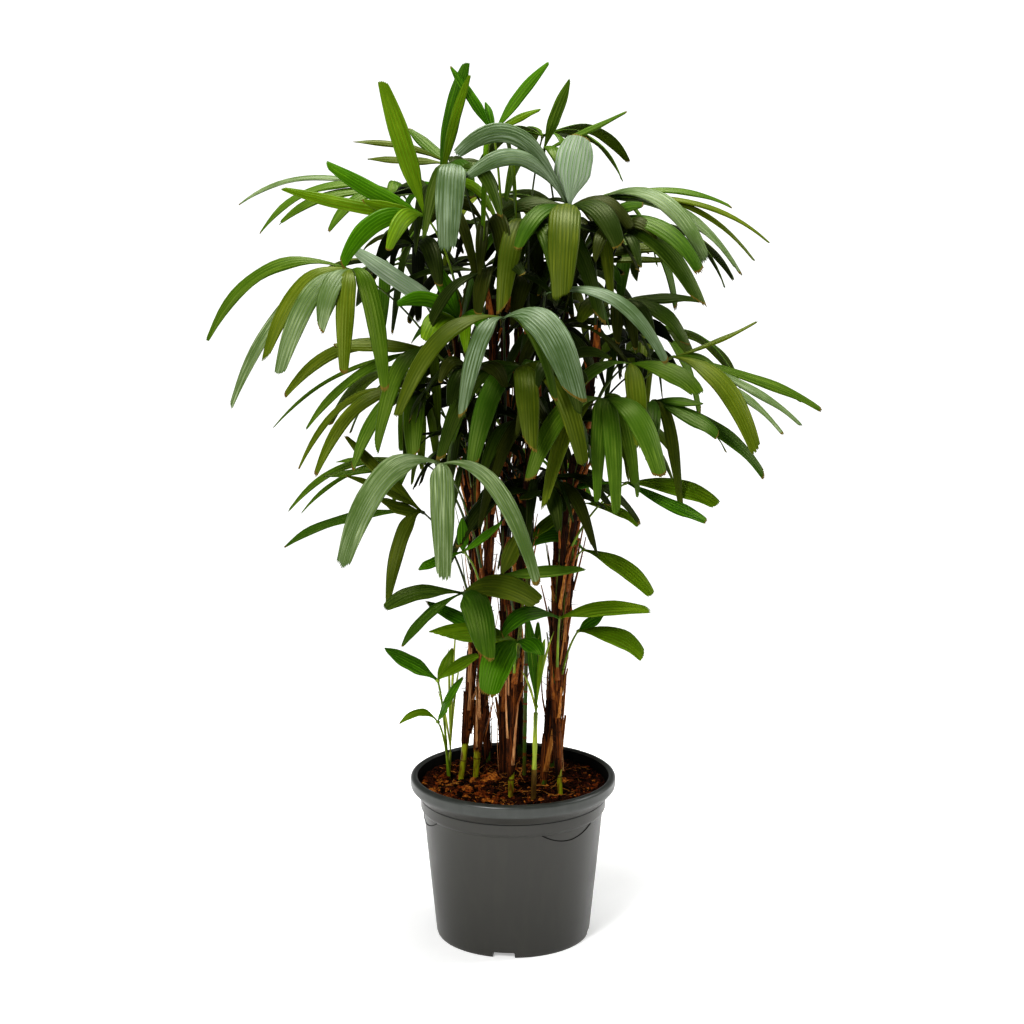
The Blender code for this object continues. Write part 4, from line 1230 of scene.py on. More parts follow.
@dataclass
class Crown:
    """All the fans, grown from their canes by the frame's table and rules."""

    nodes: dict[str, bpy.types.Object]
    seed: int = 7
    maker: FanMaker = field(default_factory=FanMaker)
    filled_fan: int = 8
    filled_above: float = 0.60
    filled_below: float = 1.06
    filled_within: float = 0.15
    filled_behind: float = -0.11
    filled_turn_deg: float = 27.0
    filled_gap_deg: float = 21.0
    stalk_sides: int = 8
    dry_rows: int = 3
    wing: float = 1.3
    inner_low: float = 0.60
    inner_high: float = 1.03
    inner_leaflets: int = 7
    inner_spread_deg: float = 270
    core_x: float = 0.015
    core_low: float = 0.74
    core_reach: float = 0.20
    core_reach_low: float = 0.155
    least_run: float = 0.55
    turn_deg: float = 137.5
    culm_sides: int = 12
    culm_dry_rows: int = 4
    found: int = 0
    skipped: int = 0
    added: int = 0
    chance: np.random.Generator = field(init=False)

    def __post_init__(self) -> None:
        """Starts the random numbers."""
        self.chance = np.random.default_rng(self.seed)

    def build(self) -> None:
        """Makes a piece of leaflets and a piece of stalks for each cane and shoot."""
        for cane in CANES:
            rows = [(f"frond_{cane.name}_{index}", frond) for index, frond in enumerate(cane.fronds, 1)]
            self.build_group(cane.name, rows, CanePath(cane))
        for shoot in SHOOTS:
            self.build_group(shoot.name, [(shoot.name, frond) for frond in shoot.fronds], shoot)
        LOG.info("leaflets: %d as in the frame, %d not set there, %d added between them",
                 self.found, self.skipped, self.added)

    def build_group(self, name: str, rows: list[tuple[str, Frond]], carrier: CanePath | Shoot) -> None:
        """Makes the leaflets and stalks that one cane or shoot carries.

        Args:
            name: the cane's or shoot's name.
            rows: each fan with its node's name.
            carrier: the cane's path, or the shoot.
        """
        leaves = MeshStore(f"leaflets_{name}")
        stalks = MeshStore(f"stalks_{name}")
        on_cane = isinstance(carrier, CanePath)
        for index, (node, frond) in enumerate(rows):
            surface = NodeSurface(self.nodes[node])
            laid = self.leaflets(node, frond, surface)
            if on_cane and laid and self.is_filled(frond):
                laid += self.between(laid, frond, carrier)
            for leaflet in laid:
                self.maker.lay(leaves, leaflet)
            line = self.stalk(frond, surface, carrier, index)
            self.lay_stalk(stalks, line, Tint(frond.tint), on_cane)
        if on_cane:
            self.grow_inside(leaves, stalks, carrier)
        else:
            self.raise_spears(stalks, carrier)
        replaced = sorted({node for node, _ in rows})
        for store in (leaves, stalks):
            keep(store.build(), f"leaf_{rows[0][1].tint}", *replaced)

    def leaflets(self, node: str, frond: Frond, surface: NodeSurface) -> list[Leaflet]:
        """Finds how the frame set each of a fan's leaflets.

        Args:
            node: the node's name.
            frond: the fan's row of the table.
            surface: its node's surface.

        Returns:
            The leaflets that it found.
        """
        hub = np.array(frond.hub) * CM
        choices = by_size(LEAFLET_TURNS_DEG, LEAFLET_RAISES_CM)
        laid = []
        for place, (right, back, up, width, arch) in enumerate(frond.leaflets):
            lines = (leaflet_line(hub, turned(np.array((right, back, up + rise)) * CM, turn),
                                  (arch + rise * 0.5) * CM) for turn, rise in choices)
            line = next((line for line in lines
                         if surface.away(bend(line, LEAFLET_CHECKS)) < MATCH_DISTANCE), None)
            if line is None:
                self.skipped += 1
                continue
            self.found += 1
            face, tint = face_direction(frond.face), Tint(frond.tint)
            if (node, place) in STANDING:
                run, face = (np.array(row) for row in STANDING[node, place])
                # a standing leaflet takes the young greens, whose painted sheen is the palest
                line, tint = leaflet_line(hub, run * CM, 0.5 * CM), Tint.YOUNG
            laid.append(self.leaflet(line, face, width * MM, tint, place in PAINTED_SHEEN.get(node, ())))
        return laid

    def leaflet(self, line: tuple[Vec, Vec, Vec], face: Vec, width: float, tint: Tint,
                painted_sheen: bool = False) -> Leaflet:
        """Returns one leaflet with its own small twist, wave and green.

        Args:
            line: the three points of its curve.
            face: the way it faces at its root.
            width: its full width.
            tint: its age.
            painted_sheen: whether its top takes the pale painted sheen.

        Returns:
            The leaflet.
        """
        twist = self.chance.normal(0, 0.10 + 0.22 * math.exp(-width / 0.014))
        wave = self.chance.uniform(0.3, 1.3) * MM
        skew = self.chance.normal(0, 0.13)
        teeth = self.chance.uniform(0.3, 1.1) * MM
        hue = int(self.chance.integers(0, 9))
        return Leaflet(line, face, width, tint, painted_sheen, twist, wave, skew, teeth, hue)

    def is_filled(self, frond: Frond) -> bool:
        """Says whether a fan stands in the part of the crown where no openings show.

        Args:
            frond: the fan's row of the table.

        Returns:
            Whether shorter leaflets fill its openings.
        """
        x, y, z = np.array(frond.hub) * CM
        level = self.filled_above < z < self.filled_below
        return level and abs(x) < self.filled_within and y > self.filled_behind

    def between(self, laid: list[Leaflet], frond: Frond, path: CanePath) -> list[Leaflet]:
        """Adds shorter leaflets in the widest openings of a fan, away from its stalk.

        Args:
            laid: the fan's leaflets so far.
            frond: the fan's row of the table.
            path: the cane that carries it.

        Returns:
            The added leaflets.
        """
        hub = np.array(frond.hub) * CM
        face, tint = face_direction(frond.face), Tint(frond.tint)
        # the leaflets added to a deep fan take the near-black greens: painted shade inside the crown
        tint = Tint.SHADE if tint is Tint.DEEP else tint
        runs = [leaflet.line[2] - hub for leaflet in laid]
        headings = [math.degrees(math.atan2(run[0], -run[1])) for run in runs]
        reach = float(np.mean([np.linalg.norm(run) for run in runs]))
        fall = float(np.mean([run[2] for run in runs]))
        width = float(np.mean([leaflet.width for leaflet in laid]))
        core = path.point(0.8)
        outward = math.degrees(math.atan2(hub[0] - core[0], core[1] - hub[1]))
        more = []
        for step in range(-5, 6):
            heading = outward + step * self.filled_turn_deg
            gaps = [abs((heading - other + 180) % 360 - 180) for other in headings]
            if len(laid) + len(more) >= self.filled_fan or min(gaps) < self.filled_gap_deg:
                continue
            length = reach * self.chance.uniform(0.62, 0.82)
            drop = min(fall, 0.0) * 0.8 - self.chance.uniform(0.25, 0.55) * length
            level = math.sqrt(max(length * length - drop * drop, (0.45 * length) ** 2))
            angle = math.radians(heading)
            run = np.array((math.sin(angle) * level, -math.cos(angle) * level, drop))
            line = leaflet_line(hub, run, self.chance.uniform(0.015, 0.03))
            more.append(self.leaflet(line, face, width * self.chance.uniform(0.75, 0.95), tint))
            headings.append(heading)
        self.added += len(more)
        return more

    def grow_inside(self, leaves: MeshStore, stalks: MeshStore, path: CanePath) -> None:
        """Adds older, shorter fans close round the cane, whose near-black greens are painted shade of the
        crown's inside.

        Args:
            leaves: where the leaflets go.
            stalks: where the stalks go.
            path: the cane.
        """
        uniform = self.chance.uniform
        count = INNER_FANS.get(path.cane.name, 0)
        heading = uniform(0, 360)
        for index in range(count):
            heading += self.turn_deg
            share = (index + uniform(0.2, 0.8)) / count
            level = self.inner_low + (self.inner_high - self.inner_low) * share
            foot = path.share(min(level - 0.08, path.top - 0.01))
            core = path.point(foot)
            angle = math.radians(heading)
            out = np.array((math.sin(angle), -math.cos(angle), 0.0))
            start = core + out * (path.radius(foot) + STALK_SEAT)
            hub = core + out * uniform(0.05, 0.09)
            hub[2] = level
            self.lay_stalk(stalks, stalk_line(start, hub, 0.0), Tint.SHADE, True)
            rows = fan(heading, self.inner_leaflets, uniform(10, 13), uniform(3, 8), uniform(22, 30),
                       self.inner_spread_deg)
            face = face_direction((heading, uniform(40, 75)))
            for right, back, up, width, arch in rows:
                run = np.array((right, back, up * uniform(-0.3, 1.5))) * CM
                run = self.held_in(hub, turned(run, uniform(-14, 14)) * uniform(0.75, 1.15))
                line = leaflet_line(hub, run, arch * uniform(0.4, 1.7) * CM)
                width *= uniform(0.6, 1.15)
                self.maker.lay(leaves, self.leaflet(line, face, width * MM, Tint.SHADE))
            self.added += len(rows)

    def held_in(self, hub: Vec, run: Vec) -> Vec:
        """Shortens a leaflet's run so that it stays in the core, behind the outer fans.

        Args:
            hub: the fan's middle.
            run: the way from there to the leaflet's end.

        Returns:
            The run, no shorter than the least share of it.
        """
        reach = self.core_reach if hub[2] > self.core_low else self.core_reach_low
        for share in np.arange(1.0, self.least_run, -0.05):
            end = hub + run * share
            if math.hypot(end[0] - self.core_x, end[1] * (1.25 if end[1] < 0 else 0.8)) < reach:
                return run * share
        return run * self.least_run

    def raise_spears(self, store: MeshStore, shoot: Shoot) -> None:
        """Adds a young cane and the unopened leaves that stand on it.

        Args:
            store: where they go.
            shoot: the shoot's row of the table.
        """
        foot = np.array((*shoot.foot, SOIL_LEVEL / CM)) * CM - (0, 0, 4 * MM)
        height, thickness = shoot.culm
        top = foot + (0.3 * CM, 0, height * CM + 4 * MM)
        shares = np.linspace(0, 1, 14)
        points = foot + (top - foot) * shares[:, None]
        radii = thickness * MM / 2 * (1.12 - 0.3 * shares) * (1 + 0.10 * np.cos(shares * 19.0))
        body, faces = tube(points, radii, self.culm_sides)
        fresh = rows_of(faces, self.culm_sides) > self.culm_dry_rows
        store.add(body, faces, CULM_RING, SPEAR, which=fresh.astype(int))
        for tip in shoot.spears:
            end = top + np.array(tip) * CM
            middle = top + (end - top) * (0.25, 0.25, 0.6)
            steps = np.linspace(0, 1, 12)
            slim = 0.8 * MM + 0.9 * MM * np.sin(math.pi * np.clip(steps * 1.2 - 0.1, 0, 1))
            slim[-1] = 0.25 * MM
            store.add(*tube(bend((top, middle, end), steps), slim, 6), SPEAR)

    def stalk(self, frond: Frond, surface: NodeSurface, carrier: CanePath | Shoot,
              index: int) -> tuple[Vec, Vec, Vec]:
        """Finds the way that the frame gave the fan's stalk.

        Args:
            frond: the fan's row of the table.
            surface: its node's surface.
            carrier: the cane's path, or the shoot.
            index: the fan's number on its shoot.

        Returns:
            The three points of the stalk's curve.
        """
        hub = np.array(frond.hub) * CM
        if isinstance(carrier, CanePath):
            lines = [stalk_line(carrier.stalk_start(hub, shift * CM, swing), hub, bulge * CM)
                     for shift, bulge, swing in by_size(STALK_SHIFTS_CM, STALK_BULGES_CM, STALK_SWINGS_DEG)]
        else:
            foot = np.array((*carrier.foot, SOIL_LEVEL / CM)) * CM
            foot[0] += index * STALK_BASE_RADIUS
            lines = [stalk_line(foot, hub, bulge * CM) for bulge in STALK_BULGES_CM]
        return min(lines, key=lambda line: surface.away(bend(line, STALK_CHECKS)))

    def lay_stalk(self, store: MeshStore, line: tuple[Vec, Vec, Vec], tint: Tint, winged: bool) -> None:
        """Adds a stalk: a wide clasping foot, a slim rind and the knob of the fan.

        Args:
            store: where the stalk goes.
            line: the three points of its curve.
            tint: the fan's age.
            winged: whether its foot clasps a cane.
        """
        shares = np.concatenate([np.linspace(0, 0.94, 20), [0.97, 0.985, 1.0]])
        points = bend(line, shares)
        radii = STALK_BASE_RADIUS + (STALK_RADIUS * 0.9 - STALK_BASE_RADIUS) * shares
        if winged:
            radii = radii * (1 + self.wing * np.exp(-shares / 0.06))
        radii[-3:] = (STALK_RADIUS * 1.3, STALK_KNOB_RADIUS * 0.75, STALK_KNOB_RADIUS * 0.62)
        way = unit(points[-1] - points[-2])
        points = np.vstack([points, points[-1] + way * STALK_KNOB_RADIUS * 0.8])
        radii = np.append(radii, STALK_KNOB_RADIUS * 0.25)
        run = line[2] - line[0]
        body, faces = tube(points, radii, self.stalk_sides, 0.8, np.array((-run[1], run[0], 0.0)))
        dry = rows_of(faces, self.stalk_sides) < (self.dry_rows if winged else 0)
        store.add(body, faces, STALKS[tint], SHEATHS[1], which=dry.astype(int))


@dataclass
class CaneDresser:
    """One cane: ringed rind at its foot, then matted fibre sheaths with stubs and hairs."""

    path: CanePath
    chance: np.random.Generator
    culm_sides: int = 18
    sides: int = 26
    ring_gap: float = 21 * MM
    sleeve_gap: float = 44 * MM
    sleeve_length: float = 66 * MM
    strip_gap: float = 21 * MM
    stripped: float = 0.70
    flare: float = 1.7 * MM
    ridge: float = 0.55 * MM
    hair_gap: float = 1.5 * MM
    hairy: float = 0.75
    greener: tuple[str, ...] = ("right_front", "left")
    store: MeshStore = field(init=False)
    bare_top: float = field(init=False)

    def __post_init__(self) -> None:
        """Starts the cane's mesh, and finds how high its rind is bare."""
        self.store = MeshStore(f"cane_{self.path.cane.name}_fibre")
        self.bare_top = SOIL_LEVEL + self.path.cane.bare * MM

    def build(self) -> None:
        """Makes the cane's piece, in place of its node."""
        self.culm()
        foot = self.bare_top
        top = self.path.top - 10 * MM
        level = foot - 8 * MM
        while level < top - 25 * MM:
            self.sleeve(level, min(level + self.sleeve_length, top))
            level += self.sleeve_gap * self.chance.uniform(0.75, 1.3)
        for level in np.arange(foot - 6 * MM, foot + self.stripped * (top - foot), self.strip_gap):
            self.strip(level + self.chance.uniform(-10, 10) * MM)
        for level in np.arange(foot, foot + self.hairy * (top - foot), self.hair_gap):
            self.hair(level)
        keep(self.store.build(), "cane_fibre", f"cane_{self.path.cane.name}")

    def spot(self, level: float) -> tuple[Vec, float]:
        """Returns the cane's middle and radius at a height.

        Args:
            level: the height.

        Returns:
            The middle and the radius.
        """
        share = max(self.path.share(level), 0.0)
        point = self.path.point(share)
        return np.array((point[0], point[1], level)), self.path.radius(share)

    def spots(self, levels: Vec) -> tuple[Vec, Vec]:
        """Returns the cane's middles and radii at heights, one row for each."""
        points, radii = zip(*(self.spot(level) for level in levels))
        return np.array(points), np.array(radii)

    def culm(self) -> None:
        """Adds the rind, with a raised scar ring at each joint of its bare foot."""
        bare, bare_top = self.path.cane.bare, self.bare_top
        levels = np.concatenate([np.arange(SOIL_LEVEL - 5 * MM, bare_top + 10 * MM, 1.5 * MM),
                                 np.arange(bare_top + 12 * MM, self.path.top, 9 * MM), [self.path.top]])
        points, radii = self.spots(levels)
        rings = SOIL_LEVEL + 9 * MM + np.cumsum(self.chance.uniform(0.7, 1.35, 20)) * self.ring_gap
        near = np.min(np.abs(levels[:, None] - rings), axis=1)
        slim = 0.80 + 0.20 * np.clip((levels - bare_top + 25 * MM) / (30 * MM), 0, 1)
        radii = radii * slim * (1 + 0.09 * np.exp(-(near / (1.5 * MM)) ** 2))
        body, faces = tube(points, radii, self.culm_sides)
        row = np.minimum(rows_of(faces, self.culm_sides), len(levels) - 1)
        scar = near[row] < (0.9 * MM if bare < 100 else 1.7 * MM)
        which = np.where(levels[row] > bare_top, 2, np.where(scar, 1, 0))
        rind = CULM if 30 < bare < 100 else CULM_GREEN
        self.store.add(body, faces, rind, CULM_RING if bare < 100 else CULM_SCAR, FIBRES[0], which=which)

    def wave(self) -> Vec:
        """Returns a wave round the cane, one value for each side, from a random start."""
        return np.cos(round_angles(self.sides) + self.chance.uniform(0, 6.3))

    def sleeve(self, low: float, high: float) -> None:
        """Adds one fibre sheath: ridged with threads, wider and torn at its upper edge.

        Args:
            low: the height of its lower edge, which slants where it shows on the rind.
            high: the height of its upper edge.
        """
        sides, chance = self.sides, self.chance
        levels = np.linspace(low, high, 8)
        points, inner = self.spots(levels)
        share = np.linspace(0, 1, len(levels))[:, None]
        threads = chance.normal(0, 1, (1, sides)) * self.ridge
        knots = chance.normal(0, 0.35, (len(levels), sides)) * self.ridge
        bulge = self.flare * chance.uniform(0.5, 1.25)
        lean = 1 + 0.35 * self.wave()[None]
        radii = inner[:, None] + 0.3 * MM + bulge * share ** 1.4 * lean + (threads + knots) * (0.35 + share)
        body, faces = tube(points, radii, sides)
        last = (len(levels) - 1) * sides
        body[last:last + sides, 2] += chance.uniform(-6, 9, sides) * MM
        body[-1, 2] -= 8 * MM
        if low < self.bare_top:
            body[:sides, 2] += self.wave() * 9 * MM + chance.normal(0, 2.2, sides) * MM
        turns = chance.integers(1, 3)
        bands = np.sin(round_angles(sides) * turns + chance.uniform(0, 6.3)) + chance.normal(0, 0.22, sides)
        pick = np.digitize(-bands, (-1.05, -0.55, 0.70))
        column = np.array([face[0] % sides for face in faces])
        green = SHEATHS[2] if self.path.cane.name in self.greener else FIBRES[1]
        aged = self.path.share(high) > chance.uniform(0.42, 0.6)
        upper = (SHEATHS[2], green, FIBRES[0], FIBRES[0])
        lower = (SHEATHS[1], FIBRES[2], FIBRES[1], FIBRES[0])
        self.store.add(body, faces, *(upper if aged else lower), which=pick[column])

    def strip(self, level: float) -> None:
        """Adds the dry stub of an old stalk, leaning off the cane from a height.

        Args:
            level: the height of its foot.
        """
        chance = self.chance
        point, radius = self.spot(level)
        out = level_way(chance.uniform(0, 2 * math.pi))
        across = np.array((-out[1], out[0], 0.0))
        length = chance.uniform(38, 95) * MM
        ahead, _ = self.spot(level + length)
        start = point + out * (radius + 1.2 * MM)
        lean = chance.uniform(3, 15) * MM
        sideways = across * chance.uniform(-9, 9) * MM
        end = ahead + out * (radius + lean) + sideways
        middle = (start + end) / 2 + out * chance.uniform(0, 4) * MM - sideways * 0.3
        shares = np.linspace(0, 1, 9)
        radii = chance.uniform(2.2, 4.2) * MM * (1 - 0.62 * shares) * (1 + chance.normal(0, 0.05, 9))
        body, faces = tube(bend((start, middle, end), shares), radii, 8, 0.34, across)
        odds = (0.30, 0.34, 0.06, 0.30) if level < 0.36 else (0.40, 0.45, 0.15, 0.0)
        self.store.add(body, faces, SHEATHS[int(chance.choice(4, p=odds))])

    def hair(self, level: float) -> None:
        """Adds one stiff loose fibre that leaves the cane at a height.

        Args:
            level: the height of its root.
        """
        chance = self.chance
        point, radius = self.spot(level)
        out = level_way(chance.uniform(0, 2 * math.pi))
        length = (3.0 + chance.exponential(3.2)) * MM
        rise = chance.uniform(-0.2, 1.3)
        start = point + out * (radius + 0.6 * MM)
        way = unit(out * chance.uniform(0.3, 0.9) + np.array((0, 0, rise)))
        end = start + way * min(length, 22 * MM)
        middle = (start + end) / 2 + chance.normal(0, 0.15, 3) * length
        thick = chance.uniform(0.22, 0.55) * MM
        shares = np.linspace(0, 1, 4)
        body, faces = tube(bend((start, middle, end), shares), thick * (1 - 0.6 * shares), 3)
        self.store.add(body, faces, HAIR if chance.random() < 0.7 else FIBRES[2])


@dataclass
class PottingMix:
    """The mix in the pot: damp peat with bark chips on it and a few dry surface roots."""

    seed: int = 31
    radius: float = 0.1278
    walls: tuple[tuple[float, float], ...] = ((0.1203, 0.178), (0.0985, 0.0125))
    waves: tuple[tuple[float, float, float, float], ...] = (
        (41, 7, 0.3, 1.0), (-23, 52, 1.1, 0.9), (88, 61, 2.0, 0.5), (-95, 120, 4.0, 0.4),
        (170, -140, 0.7, 0.3), (260, 210, 3.1, 0.22), (-310, 190, 5.2, 0.2))
    rings: int = 44
    spokes: int = 132
    relief: float = 2.6 * MM
    crown: float = 2.5 * MM
    crumbs_mm: float = 0.55
    chips: int = 2200
    roots: int = 110
    chance: np.random.Generator = field(init=False)

    def __post_init__(self) -> None:
        """Starts the random numbers."""
        self.chance = np.random.default_rng(self.seed)

    def build(self) -> None:
        """Makes the peat, the chips and the roots, in place of the soil's node."""
        for store in (self.peat(), self.strewn_chips(), self.surface_roots()):
            keep(store.build(), "potting_mix", "soil")

    def level(self, x: Vec, y: Vec) -> Vec:
        """Returns the height of the mix at points, from a sum of waves.

        Args:
            x: how far the points are to the right.
            y: how far back they are.

        Returns:
            One height for each point.
        """
        total = np.zeros_like(x)
        for wave_x, wave_y, phase, size in self.waves:
            total = total + size * np.sin(wave_x * x + wave_y * y + phase)
        edge = np.sqrt(x * x + y * y) / self.radius
        return SOIL_LEVEL + total * self.relief * 0.6 * (1 - 0.5 * edge ** 4) + self.crown * (1 - edge ** 2)

    def level_at(self, x: float, y: float) -> float:
        """Returns the height of the mix at one point."""
        return float(self.level(np.array([x]), np.array([y]))[0])

    def peat(self) -> MeshStore:
        """Makes the body of the mix: a crumbly top over a plain cone down to the pot's floor."""
        angles = round_angles(self.spokes)
        circle = np.stack([np.cos(angles), np.sin(angles)], -1)
        rows = np.linspace(0.02, 1.0, self.rings) ** 0.85 * self.radius
        flat = rows[:, None, None] * circle
        crumbs = self.chance.normal(0, self.crumbs_mm, flat.shape[:2]) * MM
        z = self.level(flat[..., 0], flat[..., 1]) + crumbs
        z[-1] = SOIL_LEVEL - 1 * MM
        rings = [*np.concatenate([flat, z[..., None]], -1)]
        for radius, height in self.walls:
            rings.append(np.column_stack([radius * circle, np.full(self.spokes, height)]))
        middle = [(0, 0, self.level_at(0.0, 0.0)), (0, 0, self.walls[-1][1])]
        store = MeshStore("peat")
        store.add(np.vstack([*rings, middle]), ring_faces(len(rings), self.spokes), SOIL)
        return store

    def chip(self) -> tuple[Vec, list[list[int]]]:
        """Models one chip: a cube cut once along each side and rounded, read as arrays."""
        deselect()
        bpy.ops.mesh.primitive_cube_add(size=2.0)
        block = bpy.context.object
        bpy.ops.object.mode_set(mode="EDIT")
        bpy.ops.mesh.select_all(action="SELECT")
        bpy.ops.mesh.subdivide(number_cuts=1, smoothness=0.6)
        bpy.ops.object.mode_set(mode="OBJECT")
        points = np.array([tuple(v.co) for v in block.data.vertices])
        faces = [list(face.vertices) for face in block.data.polygons]
        bpy.data.objects.remove(block, do_unlink=True)
        return points, faces

    def strewn_chips(self) -> MeshStore:
        """Makes the chips, larger and redder at the left of the front."""
        chance = self.chance
        store = MeshStore("bark_chips")
        points, faces = self.chip()
        for _ in range(self.chips):
            angle = chance.uniform(0, 2 * math.pi)
            out = math.sqrt(chance.random()) * (self.radius - 4 * MM)
            x, y = out * math.cos(angle), out * math.sin(angle)
            left = x < -0.02 and y < 0.02
            usual, most, reds = ((1.0, 4.6, (0.32, 0.32, 0.15, 0.21)) if left
                                 else (0.55, 2.6, (0.50, 0.20, 0.07, 0.23)))
            size = min(0.7 + chance.exponential(usual), most) * MM
            stretch = [chance.uniform(*span) for span in ((0.9, 2.4), (0.5, 1.1), (0.3, 0.7))]
            shape = points * (1 + chance.normal(0, 0.24, points.shape)) * stretch * size
            tilt = Matrix.Rotation(chance.uniform(0, 2 * math.pi), 3, "Z")
            tilt = tilt @ Matrix.Rotation(chance.normal(0, 0.6), 3, "X")
            tilt = tilt @ Matrix.Rotation(chance.normal(0, 0.3), 3, "Y")
            place = (x, y, self.level_at(x, y) + size * 0.3)
            store.add(shape @ np.array(tilt).T + place, faces, CHIPS[int(chance.choice(4, p=reds))])
        return store

    def surface_roots(self) -> MeshStore:
        """Makes the thin dry roots that lie over the mix."""
        chance = self.chance
        store = MeshStore("surface_roots")
        shares = np.linspace(0, 1, 14)
        for _ in range(self.roots):
            start = level_way(chance.uniform(0, 2 * math.pi))[:2] * chance.uniform(0.02, 0.11)
            way = chance.normal(0, 1, 2)
            thick = chance.random() ** 3
            way = way / np.linalg.norm(way) * (14 + 40 * thick + 8 * chance.random()) * MM
            side = np.array((-way[1], way[0])) * chance.uniform(-0.4, 0.4)
            flat = bend((start, start + way / 2 + side, start + way), shares)
            far = np.linalg.norm(flat, axis=1).max() / (self.radius - 5 * MM)
            flat = flat / max(far, 1.0)
            z = self.level(flat[:, 0], flat[:, 1]) + 1.6 * MM + chance.normal(0, 0.5, len(shares)) * MM
            radii = (0.28 + 0.85 * thick) * MM * (1 - 0.5 * shares)
            store.add(*tube(np.column_stack([flat, z]), radii, 5), ROOT)
        return store


@dataclass
class NurseryPot:
    """The moulded pot: a tapered wall, a stepped band, a rolled lip and slots at its foot."""

    sides: int = 144
    rim_radius: float = 0.140
    mouth_radius: float = 0.1306
    foot_radius: float = 0.105
    lip_height: float = 0.017
    band_radius: float = 0.1268
    band_height: float = 0.032
    band_step: float = 0.0035
    wall: float = 0.0028
    inner_step: float = 0.006
    floor: float = 0.0115
    hold: float = 0.0009
    under_lip: float = 0.0135
    smooth_deg: float = 40.0
    ridge_middles: tuple[float, ...] = (38.0, -76.0, 110.0, 218.0)
    ridge_half_turn: float = 20.0
    ridge_height: float = 0.178
    ridge_sag: float = 0.0135
    ridge_radius: float = 0.0007
    slots: int = 4
    first_slot: float = -7.0
    slot_size: tuple[float, float, float] = (0.040, 0.030, 0.016)
    slot_outside: float = 0.006
    slot_round: float = 0.002
    drain_radius: float = 0.008
    drain_from_axis: float = 0.083
    drain_depth: float = 0.03

    @property
    def lip(self) -> float:
        """The height of the lip's lower edge."""
        return POT_HEIGHT - self.lip_height

    @property
    def band(self) -> float:
        """The height of the band's lower edge."""
        return self.lip - self.band_height

    def profile(self) -> list[tuple[float, float]]:
        """Returns (radius, height) rows from the foot, over the lip and down the inside."""
        foot, belt, rim, mouth = self.foot_radius, self.band_radius, self.rim_radius, self.mouth_radius
        top, lip, band = POT_HEIGHT, self.lip, self.band
        step, inner = belt - self.band_step, mouth - self.inner_step
        return [
            (foot - 0.0020, 0.0), (foot - 0.0006, 0.0006), (foot, 0.0022), (foot + 0.0007, 0.0045),
            (step - 0.0005, band - 0.0010), (step + 0.0006, band + 0.0006),
            (belt - 0.0012, band + 0.0024), (belt - 0.0004, band + 0.0042),
            (belt, lip - self.under_lip), (belt + 0.0016, lip + 0.0020 - self.under_lip),
            (rim - 0.0020, lip - 0.0010), (rim - 0.0005, lip + 0.0012), (rim, lip + 0.0034),
            (rim - 0.0001, top - 0.0044), (rim - 0.0010, top - 0.0024), (rim - 0.0028, top - 0.0010),
            (mouth + 0.0042, top), (mouth + 0.0018, top - 0.0004), (mouth, top - 0.0022),
            (mouth - 0.0014, lip), (inner, band + 0.0040), (inner - self.band_step, band),
            (foot - 2 * self.wall, self.floor),
        ]

    def build(self) -> None:
        """Models the pot and sets it in place of its node."""
        pot = self.shell()
        self.cut(pot)
        self.dress(pot)
        for piece in (pot, self.ridges().build()):
            keep(piece, "pot_plastic", "pot")

    def ridges(self) -> MeshStore:
        """Makes the fine moulded lines, each sagging across the band like a crescent, in the near-black
        plastic as painted shade of the lines.
        """
        store = MeshStore("moulded_ridges")
        shares = np.linspace(-1, 1, 31)
        heights = self.ridge_height - self.ridge_sag * (1 - shares ** 2)
        slope = (self.band_radius - self.band_step - self.foot_radius) / self.band
        under = self.foot_radius + slope * heights
        radius = np.where(heights > self.band + 0.002, self.band_radius - 0.0004, under)
        radius = radius - 0.3 * self.ridge_radius
        for middle in self.ridge_middles:
            turns = np.radians(middle + shares * self.ridge_half_turn)
            points = np.stack([np.sin(turns) * radius, -np.cos(turns) * radius, heights], -1)
            store.add(*tube(points, np.full(len(shares), self.ridge_radius), 6), PLASTIC_PAINTED_SHADE)
        return store

    def shell(self) -> bpy.types.Object:
        """Draws the wall up from the foot's disc and closes it with the floor."""
        rows = self.profile()
        deselect()
        bpy.ops.mesh.primitive_circle_add(vertices=self.sides, radius=rows[0][0], fill_type="NGON")
        pot = bpy.context.object
        pot.name = "nursery_pot"
        bpy.ops.object.mode_set(mode="EDIT")
        bpy.ops.mesh.select_mode(type="EDGE")
        bpy.ops.mesh.select_all(action="SELECT")
        for start, end in zip(rows, rows[1:]):
            length = math.dist(start, end)
            # a long wall has a ring close to each of its ends, which hold its edges crisp
            edge = self.hold / length
            at_radius, at_height = start
            for share in (edge, 1 - edge, 1.0) if length > 5 * self.hold else (1.0,):
                radius, height = (near + (far - near) * share for near, far in zip(start, end))
                bpy.ops.mesh.extrude_region_move(
                    TRANSFORM_OT_translate={"value": (0.0, 0.0, height - at_height)})
                size = radius / at_radius
                bpy.ops.transform.resize(value=(size, size, 1.0), center_override=(0.0, 0.0, height))
                at_radius, at_height = radius, height
        bpy.ops.mesh.select_all(action="SELECT")
        bpy.ops.mesh.normals_make_consistent(inside=False)
        bpy.ops.object.mode_set(mode="OBJECT")
        return pot

